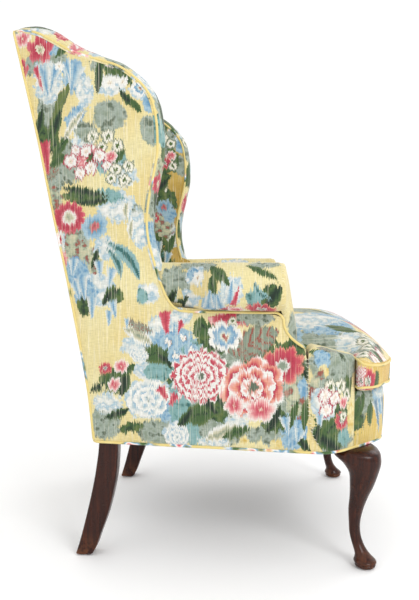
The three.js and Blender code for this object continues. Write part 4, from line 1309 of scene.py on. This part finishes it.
def base_line(side):
    line = [(0, border_y(0) + 0.001, BASE_Z)]
    line += [(x, border_y(x) + 0.001, BASE_Z) for x in steps(0.05, 0.28, 14)]
    line += [(post_x(y) + 0.0005, y, BASE_Z) for y in (-0.311, -0.300, -0.284, -0.262, -0.2480)]
    line += [(side_x(y, BASE_Z), y, BASE_Z) for y in steps(-0.225, 0.245, 16)]
    line += [(0.282, 0.2555, BASE_Z), (0.270, 0.2570, BASE_Z)]
    line += [(x, rear_y(BASE_Z) + 0.001, BASE_Z) for x in steps(0.24, 0, 6)]
    return [(side * x, y, z - 0.0005) for x, y, z in line]


def base_welt(material):
    right, left = base_line(-1), base_line(1)
    loop = right + left[::-1][1:]
    line = spline(loop, 500)[:-1]
    settle(tube("base_welt", line, WELT * 1.1, closed=True), material)


def back_welts(material):
    across = rear_y(1.158) - 0.001
    heights = steps(BASE_Z + 0.002, 1.150, 40)
    right = [(side_x(rear_y(z), z) - 0.0005, rear_y(z) - 0.0005, z) for z in heights]
    corner = [(0.2705, across, 1.1560), (0.264, across, 1.1588)]
    top = [(x, across, 1.1595) for x in steps(0.24, 0, 8)]
    half = right + corner + top
    line = mirrored(half, 1) + mirrored(half[:-1], -1)[::-1]
    settle(tube("back_welt", spline(line, 420), WELT), material)


def seam_stitches(side, label, material):
    """Hand stitches down the seam between the outside panel and the corner post."""
    verts, faces = [], []
    for i, z in enumerate(steps(0.285, 0.462, 21)):
        y = front_y(z)
        middle = Vector((side * (side_x(y, z) + 0.0022), y, z))
        tilt = 0.35 + 0.12 * math.sin(i * 2.4)
        along = Vector((0, math.cos(tilt), math.sin(tilt)))
        small = bmesh.new()
        bmesh.ops.create_uvsphere(small, u_segments=8, v_segments=6, radius=1)
        turn = along.to_track_quat("X", "Z")
        length = 0.0036 + 0.0007 * math.sin(i * 5.1)
        base = len(verts)
        for v in small.verts:
            local = Vector((v.co.x * length, v.co.y * 0.0006, v.co.z * 0.0006))
            verts.append(middle + turn @ local)
        small.verts.index_update()
        faces += [tuple(base + v.index for v in f.verts) for f in small.faces]
        small.free()
    obj = new_object(f"seam_stitches_{label}", verts, faces, [(0, 0)] * len(verts))
    settle(obj, material)


# Legs

LEG_Y = through(
    (0.0034, -0.341), (0.012, -0.341), (0.024, -0.337), (0.034, -0.332), (0.048, -0.326), (0.068, -0.321),
    (0.092, -0.320), (0.122, -0.322), (0.151, -0.327), (0.178, -0.332), (0.207, -0.335), (0.230, -0.331),
    (0.248, -0.321), (0.256, -0.318), (0.262, -0.311))
LEG_HALF = through(
    (0.0034, 0.0210), (0.005, 0.0222), (0.0085, 0.0222), (0.0098, 0.0212), (0.0112, 0.0236), (0.014, 0.0244),
    (0.017, 0.0232), (0.021, 0.0200), (0.026, 0.0168), (0.034, 0.0142), (0.048, 0.0124), (0.068, 0.0120),
    (0.092, 0.0125), (0.122, 0.0160), (0.151, 0.0195), (0.178, 0.0250), (0.207, 0.0310), (0.230, 0.0410),
    (0.248, 0.0510), (0.256, 0.0490), (0.262, 0.0430))
LEG_POWER = through((0.003, 2.0), (0.09, 2.0), (0.15, 2.2), (0.21, 2.4), (0.262, 2.9))


def oval(x, y, z, half_x, half_y, power, count):
    ring = []
    for i in range(count):
        turn = 2 * math.pi * i / count
        c, s = math.cos(turn), math.sin(turn)
        at_x = half_x * math.copysign(abs(c) ** (2 / power), c)
        at_y = half_y * math.copysign(abs(s) ** (2 / power), s)
        ring.append(Vector((x + at_x, y + at_y, z)))
    return ring


def joined(name, parts):
    """One object from several closed bodies."""
    bm = bmesh.new()
    for part in parts:
        bm.from_mesh(part.data)
        bpy.data.objects.remove(part)
    mesh = bpy.data.meshes.new(name)
    bm.to_mesh(mesh)
    bm.free()
    mesh.set_sharp_from_angle(angle=math.radians(40))
    obj = bpy.data.objects.new(name, mesh)
    bpy.context.scene.collection.objects.link(obj)
    return obj


def wood_settle(obj, material, node):
    settle(obj, material, nodes=[node])
    return obj


def front_leg(side, label, material):
    rings = []
    heights = [0.0034, 0.0042, 0.0055, 0.0072, 0.0088, 0.0098, 0.0105, 0.0114, 0.0127, 0.0142, 0.0158]
    heights += [0.0175, 0.0195, 0.0220, 0.0250, 0.0290]
    heights += steps(0.034, 0.262, 60)
    for z in heights:
        y, half, power = LEG_Y(z), LEG_HALF(z), LEG_POWER(z)
        x = 0.296 - 0.341 - y
        rings.append(oval(side * x, y, z, half, half, power, 44))
    cabriole = loft(f"cabriole_{label}", rings)
    block = [oval(side * 0.282, -0.276, z, 0.022, 0.022, 12, 24) for z in (0.261, 0.300, 0.350)]
    stump = [oval(side * 0.294, -0.260, z, 0.014, 0.026, 12, 24) for z in (0.350, 0.400, 0.456)]
    made = joined(f"front_leg_{label}_wood", [cabriole, loft("block", block), loft("stump", stump)])
    return wood_settle(made, material, f"front_leg_{label}")


POST_FRONT = through(
    (0.0034, 0.264), (0.022, 0.254), (0.045, 0.246), (0.095, 0.228), (0.150, 0.214), (0.196, 0.206),
    (0.262, 0.203), (0.350, 0.212), (0.450, 0.226), (0.604, 0.263), (0.753, 0.296), (0.946, 0.334),
    (1.110, 0.366))
POST_REAR = through(
    (0.0034, 0.302), (0.022, 0.296), (0.045, 0.289), (0.095, 0.276), (0.150, 0.263), (0.196, 0.254),
    (0.262, 0.246), (0.350, 0.250), (0.450, 0.266), (0.604, 0.294), (0.753, 0.326), (0.946, 0.363),
    (1.110, 0.395))
POST_IN = through(
    (0.0034, 0.244), (0.262, 0.244), (0.350, 0.242), (0.450, 0.236), (0.604, 0.228), (1.11, 0.226))
POST_OUT = through(
    (0.0034, 0.284), (0.262, 0.284), (0.350, 0.278), (0.450, 0.272), (0.604, 0.262), (1.11, 0.260))


def rear_post(side, label, material):
    rings = []
    for z in [0.0034, 0.0055] + steps(0.012, 0.262, 34) + steps(0.290, 1.110, 30):
        y0, y1, x0, x1 = POST_FRONT(z), POST_REAR(z), POST_IN(z), POST_OUT(z)
        ease = 0.0012 if z < 0.005 else 0
        half_x, half_y = (x1 - x0) / 2 - ease, (y1 - y0) / 2 - ease
        rings.append(oval(side * (x0 + x1) / 2, (y0 + y1) / 2, z, half_x, half_y, 9, 44))
    made = loft(f"rear_post_{label}_wood", rings, None, 60)
    return wood_settle(made, material, f"rear_post_{label}")


# The printed cloth

TILE_WIDTH, TILE_HEIGHT = 0.66, 0.92


def moved(placements, region, by):
    """The placements inside a region of the design (low Y, high Y, low Z, high Z), moved."""
    low_y, high_y, low_z, high_z = region
    return [(m, y + by[0], z + by[1], a, b, t) for m, y, z, a, b, t in placements
            if low_y < y < high_y and low_z < z < high_z]


def whole_repeat():
    """The design with the part of its repeat that the chair's side doesn't reach."""
    made = moved(DESIGN, (0.10, 0.33, 0.83, 1.10), (-0.330, 0.030))
    made += moved(DESIGN, (0.03, 0.26, 0.28, 0.53), (-0.310, 0.400))
    made += moved(DESIGN, (0.16, 0.34, 0.55, 0.80), (-0.270, 0.110))
    return made + DESIGN


def between():
    """Sprays that fill the wider gaps of the print on the back, inside and out."""
    made = moved(DESIGN, (0.10, 0.33, 0.83, 1.10), (-0.240, -0.300))
    made += moved(DESIGN, (-0.20, 0.06, 0.28, 0.56), (0.060, 0.690))
    made += moved(DESIGN, (0.03, 0.30, 0.55, 0.83), (-0.300, 0.330))
    return sideways(made)


def printed(low_u, high_u, low_v, high_v):
    """Every motif of the repeated print that reaches into these cloth coordinates."""
    made = []
    for column in range(-2, 3):
        for row in range(-1, 3):
            for motif, y, z, a, b, turn in whole_repeat():
                u, v = -y + column * TILE_WIDTH, z + row * TILE_HEIGHT
                size = max(a, b) * 0.9
                if low_u - size < u < high_u + size and low_v - size < v < high_v + size:
                    made.append((motif, u, v, a, b, turn))
    return made


def sideways(placements):
    return [(m, -y, z, a, b, t) for m, y, z, a, b, t in placements]


def warp_coordinates(nodes):
    """Cloth coordinates with the warp threads slipped up and down, as before a warp print is woven."""
    cloth = nodes.cloth()
    threads = nodes.noise(nodes.stretch(cloth, 480, 9), 1.0, 1.0)
    bands = nodes.noise(nodes.stretch(cloth, 120, 5), 1.0, 1.0)
    wefts = nodes.noise(nodes.stretch(cloth, 40, 420), 1.0, 0.0)
    slip = nodes.fma(threads, 0.020, -0.010)
    slip = nodes.fma(bands, 0.010, nodes.math("SUBTRACT", slip, 0.005))
    step = nodes.fma(wefts, 0.003, -0.0015)
    shift = nodes.add("ShaderNodeCombineXYZ", {0: step, 1: slip}).outputs[0]
    moved_to = nodes.add("ShaderNodeVectorMath", {0: cloth, 1: shift}, operation="ADD").outputs[0]
    return cloth, moved_to, threads


def ground(nodes, cloth, low, high):
    """The ground colour, shifting slowly between two tones with pale warp streaks."""
    slow = nodes.noise(cloth, 7.0, 2.0)
    tone = nodes.mix(nodes.range(slow, 0.38, 0.62), colour(low), colour(high))
    streaks = nodes.noise(nodes.stretch(cloth, 260, 12), 1.0, 2.0)
    return nodes.mix(nodes.times(nodes.range(streaks, 0.54, 0.74), 0.40), tone, colour(CREAM))


def draw_motifs(nodes, tone, cloth, place, placements):
    """Lays the motifs over one another. Only numbers pass between them, so they are worked out in turn."""
    parts = nodes.add("ShaderNodeSeparateXYZ", {0: place})
    u, v = parts.outputs[0], parts.outputs[1]
    clouds = [nodes.noise(cloth, 52.0, 2.0), nodes.noise(nodes.stretch(cloth, -71, 71), 1.0, 2.0)]
    for index, (motif, at_u, at_v, a, b, turn) in enumerate(placements):
        c, s = math.cos(turn), math.sin(turn)
        stamp = nodes.add("ShaderNodeGroup")
        stamp.node_tree = MOTIFS[motif]
        given = {"Under": tone, "U": u, "V": v, "Cloud": clouds[index % 2]}
        given.update({"XU": c / a, "XV": s / a, "X0": -(at_u * c + at_v * s) / a})
        given.update({"YU": -s / b, "YV": c / b, "Y0": (at_u * s - at_v * c) / b})
        for key, value in given.items():
            nodes.feed(stamp.inputs[key], value)
        tone = stamp.outputs[0]
    return tone


def weave(nodes, cloth, tone, threads, worn):
    """Thread by thread lights and darks, slubs, and flecks where the pale warp shows through."""
    warp = nodes.noise(nodes.stretch(cloth, 900, 70), 1.0, 1.0)
    weft = nodes.noise(nodes.stretch(cloth, 60, 760), 1.0, 1.0)
    shade = nodes.fma(nodes.math("ADD", warp, weft), 0.26, 0.48)
    tone = nodes.shaded(tone, shade)
    flecks = nodes.times(nodes.range(threads, 0.60, 0.74), worn)
    tone = nodes.mix(flecks, tone, colour(CREAM))
    height = nodes.math("ADD", nodes.times(warp, 0.5), weft)
    return tone, height


def finish_cloth(nodes, shader, tone, height, rough, depth):
    nodes.fill(shader, {
        "Base Color": tone, "Roughness": rough, "Sheen Weight": 0.18, "Sheen Roughness": 0.45,
        "Specular IOR Level": 0.35,
    })
    nodes.bump(shader, height, 0.5, depth)


def print_material(name, placements, low=YELLOW, high="E8D491", worn=0.28):
    material, nodes, shader = new_material(name)
    cloth, place, threads = warp_coordinates(nodes)
    tone = ground(nodes, cloth, low, high)
    tone = draw_motifs(nodes, tone, cloth, place, placements)
    tone, height = weave(nodes, cloth, tone, threads, worn)
    finish_cloth(nodes, shader, tone, height, 0.78, 0.0005)
    return material


def piping_material(name, coloured):
    """Cord covered in strips of the print: mostly its ground, with the colours it was cut across."""
    material, nodes, shader = new_material(name)
    cloth = nodes.cloth()
    tone = nodes.mix(nodes.noise(cloth, 30.0, 1.0), colour("D6BE6E"), colour("E6D594"))
    pieces = nodes.noise(nodes.stretch(cloth, 13, 20), 1.0, 1.0)
    shades = nodes.ramp(nodes.noise(nodes.stretch(cloth, 31, 40), 1.0, 1.0), [
        (0.30, RED), (0.38, PINK), (0.45, WHITE), (0.52, BLUE), (0.58, SAGE), (0.66, GREEN)])
    tone = nodes.mix(nodes.range(pieces, 0.70 - coloured, 0.76 - coloured), tone, shades)
    cut = nodes.wave(cloth, 260.0, 1.5, bands_direction="DIAGONAL")
    shade = nodes.range(cut, 0.0, 1.0, 0.88, 1.02)
    tone = nodes.shaded(tone, shade)
    finish_cloth(nodes, shader, tone, cut, 0.75, 0.0004)
    return material


def plain_cloth(name, low, high, rough=0.88, scale=700.0):
    material, nodes, shader = new_material(name)
    cloth = nodes.cloth()
    tone = nodes.mix(nodes.noise(cloth, 9.0, 3.0), colour(low), colour(high))
    warp = nodes.noise(nodes.stretch(cloth, scale, scale / 12), 1.0, 1.0)
    weft = nodes.noise(nodes.stretch(cloth, scale / 12, scale), 1.0, 1.0)
    both = nodes.math("ADD", warp, weft)
    shade = nodes.range(both, 0.7, 1.3, 0.82, 1.08)
    finish_cloth(nodes, shader, nodes.shaded(tone, shade), both, rough, 0.0006)
    return material


# Wood and metal

def show_wood(name):
    """Polished mahogany with its grain up the leg, darker in its hollows and rubbed on its edges."""
    material, nodes, shader = new_material(name)
    spot = nodes.spot()
    swirl = nodes.noise(nodes.stretch(spot, 14, 14, 3.0), 1.0, 3.0, "3D")
    along = nodes.stretch(spot, 190, 190, 7)
    aside = nodes.add("ShaderNodeCombineXYZ", {0: nodes.times(swirl, 9.0)}).outputs[0]
    bent = nodes.add("ShaderNodeVectorMath", {0: along, 1: aside}, operation="ADD").outputs[0]
    grain = nodes.noise(bent, 1.0, 4.0, "3D", 0.62)
    pores = nodes.noise(nodes.stretch(spot, 900, 900, 26), 1.0, 1.0, "3D")
    tone = nodes.ramp(grain, [(0.28, "190803"), (0.45, "2C1007"), (0.58, "3E190A"), (0.74, "582912")])
    tone = nodes.mix(nodes.range(swirl, 0.36, 0.66, 0.0, 0.55), tone, colour("2A1008"))
    tone = nodes.mix(nodes.range(pores, 0.62, 0.72, 0.0, 0.75), tone, colour("120603"))
    edge = nodes.add("ShaderNodeNewGeometry").outputs["Pointiness"]
    tone = nodes.mix(nodes.range(edge, 0.54, 0.64, 0.0, 0.40), tone, colour("70391D"))
    marks = nodes.noise(spot, 46.0, 4.0, "3D", 0.7)
    tone = nodes.mix(nodes.range(marks, 0.63, 0.70, 0.0, 0.8), tone, colour("150805"))
    low = nodes.add("ShaderNodeSeparateXYZ", {0: spot}).outputs[2]
    scuffs = nodes.times(nodes.range(low, 0.055, 0.0), nodes.range(marks, 0.42, 0.58))
    tone = nodes.mix(nodes.times(scuffs, 0.35), tone, colour("8A5530"))
    nodes.fill(shader, {
        "Base Color": tone, "Roughness": nodes.range(marks, 0.3, 0.7, 0.20, 0.42),
        "Specular IOR Level": 0.16, "Coat Weight": 0.22, "Coat Roughness": 0.07,
    })
    height = nodes.fma(pores, -0.7, nodes.times(marks, 0.8))
    nodes.bump(shader, height, 0.35, 0.0006)
    return material


def frame_wood(name):
    """Unfinished sawn hardwood, with grain and saw marks."""
    material, nodes, shader = new_material(name)
    spot = nodes.spot()
    swirl = nodes.noise(nodes.stretch(spot, 9, 9, 6), 1.0, 3.0, "3D")
    grain = nodes.noise(nodes.stretch(spot, 60, 150, 90), 1.0, 3.0, "3D")
    saw = nodes.add("ShaderNodeTexWave", {"Vector": spot, "Scale": 95.0, "Distortion": 2.5, "Detail": 1.0})
    mixed = nodes.fma(grain, 0.7, nodes.times(swirl, 0.3))
    tone = nodes.ramp(mixed, [(0.3, "8A6438"), (0.5, "B58C58"), (0.7, "CBA877")])
    shade = nodes.range(saw.outputs["Fac"], 0.0, 1.0, 0.90, 1.04)
    nodes.fill(shader, {
        "Base Color": nodes.shaded(tone, shade), "Roughness": nodes.range(grain, 0.3, 0.7, 0.68, 0.88),
    })
    nodes.bump(shader, nodes.math("ADD", grain, saw.outputs["Fac"]), 0.4, 0.0006)
    return material


def jute(name):
    """Coarse basket-woven strap with darker stripes and stray fibres."""
    material, nodes, shader = new_material(name)
    spot = nodes.spot()
    across = nodes.wave(spot, 88.0, 0.8, bands_direction="X")
    along = nodes.wave(spot, 88.0, 0.8, bands_direction="Y")
    check = nodes.times(across, along)
    fibre = nodes.noise(spot, 420.0, 3.0, "3D")
    tone = nodes.ramp(nodes.fma(check, 0.6, nodes.times(fibre, 0.4)), [
        (0.15, "4A361C"), (0.45, "8A6C40"), (0.8, "B99A68")])
    nodes.fill(shader, {
        "Base Color": tone, "Roughness": nodes.range(fibre, 0.3, 0.7, 0.82, 0.95), "Sheen Weight": 0.15,
    })
    nodes.bump(shader, nodes.math("ADD", check, fibre), 0.7, 0.0012)
    return material


def steel(name, base, rough, tarnish):
    """Bare metal with fine drawing marks and patches of tarnish."""
    material, nodes, shader = new_material(name)
    spot = nodes.spot()
    patches = nodes.noise(spot, 60.0, 4.0, "3D", 0.65)
    marks = nodes.noise(nodes.stretch(spot, 900, 900, 200), 1.0, 2.0, "3D")
    tone = nodes.mix(nodes.range(patches, 0.48, 0.66, 0.0, tarnish), colour(base), colour("4E4238"))
    nodes.fill(shader, {
        "Base Color": tone, "Metallic": 1.0,
        "Roughness": nodes.range(patches, 0.3, 0.7, rough, rough + 0.22),
    })
    nodes.bump(shader, marks, 0.25, 0.0002)
    return material


def black_cloth(name):
    """Thin black bonded cloth, with its matted fibres just showing."""
    material, nodes, shader = new_material(name)
    cloth = nodes.cloth()
    fibres = nodes.noise(nodes.stretch(cloth, 900, 500), 1.0, 3.0)
    dimples = nodes.add("ShaderNodeTexVoronoi", {"Vector": cloth, "Scale": 420.0}, voronoi_dimensions="2D")
    tone = nodes.ramp(fibres, [(0.3, "141414"), (0.55, "1F1F20"), (0.75, "33322F")])
    nodes.fill(shader, {"Base Color": tone, "Roughness": nodes.range(fibres, 0.3, 0.7, 0.82, 0.96)})
    nodes.bump(shader, nodes.math("ADD", fibres, dimples.outputs["Distance"]), 0.5, 0.0004)
    return material


def arm_rail(side, label, material):
    """The timber inside the roll, which bends inwards with it to the wing."""
    rings = []
    for y in steps(-0.146, 0.080, 24):
        centre, half, _ = roll_at(y)
        wide = min(0.018, half - 0.018)
        rings.append(oval(side * centre, 0, 0, wide, 0.017, 8, 24))
        rings[-1] = [Vector((p.x, y, ROLL_Z + p.y)) for p in rings[-1]]
    obj = loft(f"arm_rail_{label}_wood", rings, None, 50)
    settle(obj, material, nodes=[f"arm_rail_{label}"])


# Everything together

def dress_frame(timber):
    """Better materials for the hidden parts whose CAD meshes stay."""
    wire = steel("spring steel", "77736C", 0.34, 0.8)
    plated = steel("glide", "A9A79F", 0.22, 0.35)
    kinds = (("webbing", jute("jute")), ("seat_spring", wire), ("foot_glide", plated))
    for node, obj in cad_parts.items():
        chosen = next((m for start, m in kinds if node.startswith(start)), timber)
        obj.data.materials.clear()
        obj.data.materials.append(chosen)


def build():
    side_print = print_material("print sides", printed(-0.43, 0.27, 0.26, 1.17))
    wing_motifs_and_shade = printed(-0.34, -0.08, 0.39, 1.12) + sideways(WING_DESIGN_AND_SHADE)
    # The insides of the wings get a darker gold ground and fewer pale flecks than the other prints: painted
    # shade, as they lie in shadow
    wing_print_shaded = print_material("print wings with painted shade", wing_motifs_and_shade, "CFAE55", "BD9A42", 0.12)
    edge_print = print_material("print boxing", sideways(EDGE_DESIGN))
    back_print = print_material("print back", between() + printed(-0.225, 0.225, 0.36, 1.30))
    rear_print = print_material("print rear", between() + printed(-0.295, 0.295, 0.26, 1.17))
    roll_print = print_material("print arms", sideways(ROLL_DESIGN))
    post_print = print_material("print posts", sideways(POST_DESIGN))
    facing_print = print_material("print facings", [("sage", -0.29, 0.37, 0.02, 0.05, 0.0)])
    border_print = print_material("print border", BORDER_DESIGN, GOLD, "E2C873", 0.2)
    top_print = print_material("print cushion", CUSHION_DESIGN, "E9DBA0", "E5CC82", 0.45)
    boxing_print = print_material("print cushion sides", BOXING_DESIGN, "D9B14E", "E3C46C", 0.15)
    piping, base_piping = piping_material("piping", 0.08), piping_material("base piping", 0.24)
    thread = plain_cloth("stitching", "E9E4D2", "D8D0B8")
    mahogany, timber = show_wood("mahogany"), frame_wood("frame timber")
    dress_frame(timber)
    for label, side in SIDES.items():
        outside_panel(side, label, side_print)
        wing_boxing(side, label, edge_print)
        inside_wing(side, label, wing_print_shaded)
        arm_pad(side, label, roll_print)
        arm_facing(side, label, facing_print)
        corner_post(side, label, post_print)
        wing_welts(side, label, piping)
        seam_stitches(side, label, thread)
        front_leg(side, label, mahogany)
        rear_post(side, label, mahogany)
        arm_rail(side, label, timber)
    front_border(border_print)
    inside_back(back_print)
    outside_back(rear_print)
    seat_deck(plain_cloth("deck cloth", "CDB77A", "DCCB95"))
    dust_cover(black_cloth("dust cloth"))
    base_welt(base_piping)
    back_welts(piping)
    cushion_welts(seat_cushion(top_print, boxing_print), piping)


# Camera, lights and floor

def place_camera():
    data = bpy.data.cameras.new("camera")
    data.lens, data.sensor_width = 40.5, 36
    camera = bpy.data.objects.new("camera", data)
    bpy.context.scene.collection.objects.link(camera)
    camera.location = (-1.737, -0.0935, 0.688)
    turn, dip = math.radians(3.644), math.radians(4.262)
    look = Vector((math.cos(turn) * math.cos(dip), math.sin(turn) * math.cos(dip), -math.sin(dip)))
    camera.rotation_mode = "QUATERNION"
    camera.rotation_quaternion = look.to_track_quat("-Z", "Y")
    bpy.context.scene.camera = camera


def area_light(name, place, target, size, power):
    data = bpy.data.lights.new(name, "AREA")
    data.shape, data.size, data.energy = "SQUARE", size, power
    light = bpy.data.objects.new(name, data)
    light.location = place
    light.rotation_mode = "QUATERNION"
    light.rotation_quaternion = (Vector(target) - Vector(place)).to_track_quat("-Z", "Y")
    bpy.context.scene.collection.objects.link(light)


def studio():
    reach = 40.0
    mesh = bpy.data.meshes.new("floor")
    corners = [(-reach, -reach, 0), (reach, -reach, 0), (reach, reach, 0), (-reach, reach, 0)]
    mesh.from_pydata(corners, [], [(0, 1, 2, 3)])
    floor = bpy.data.objects.new("floor", mesh)
    bpy.context.scene.collection.objects.link(floor)
    material, nodes, shader = new_material("pale floor")
    nodes.fill(shader, {"Base Color": (0.98, 0.98, 0.98, 1), "Roughness": 0.7})
    mesh.materials.append(material)
    world = bpy.data.worlds.new("studio")
    bpy.context.scene.world = world
    world.use_nodes = True
    background = next(n for n in world.node_tree.nodes if n.type == "BACKGROUND")
    background.inputs[0].default_value = (1, 1, 1, 1)
    background.inputs[1].default_value = 1.04
    area_light("key", (-2.6, -1.9, 2.2), (0, 0, 0.6), 1.4, 46)
    area_light("fill", (-2.2, 2.4, 1.6), (0, 0, 0.5), 2.2, 6)
    area_light("rim", (1.8, -2.2, 2.4), (0, 0, 0.6), 1.8, 16)


build()
place_camera()
studio()
bpy.context.scene.view_settings.view_transform = "Standard"
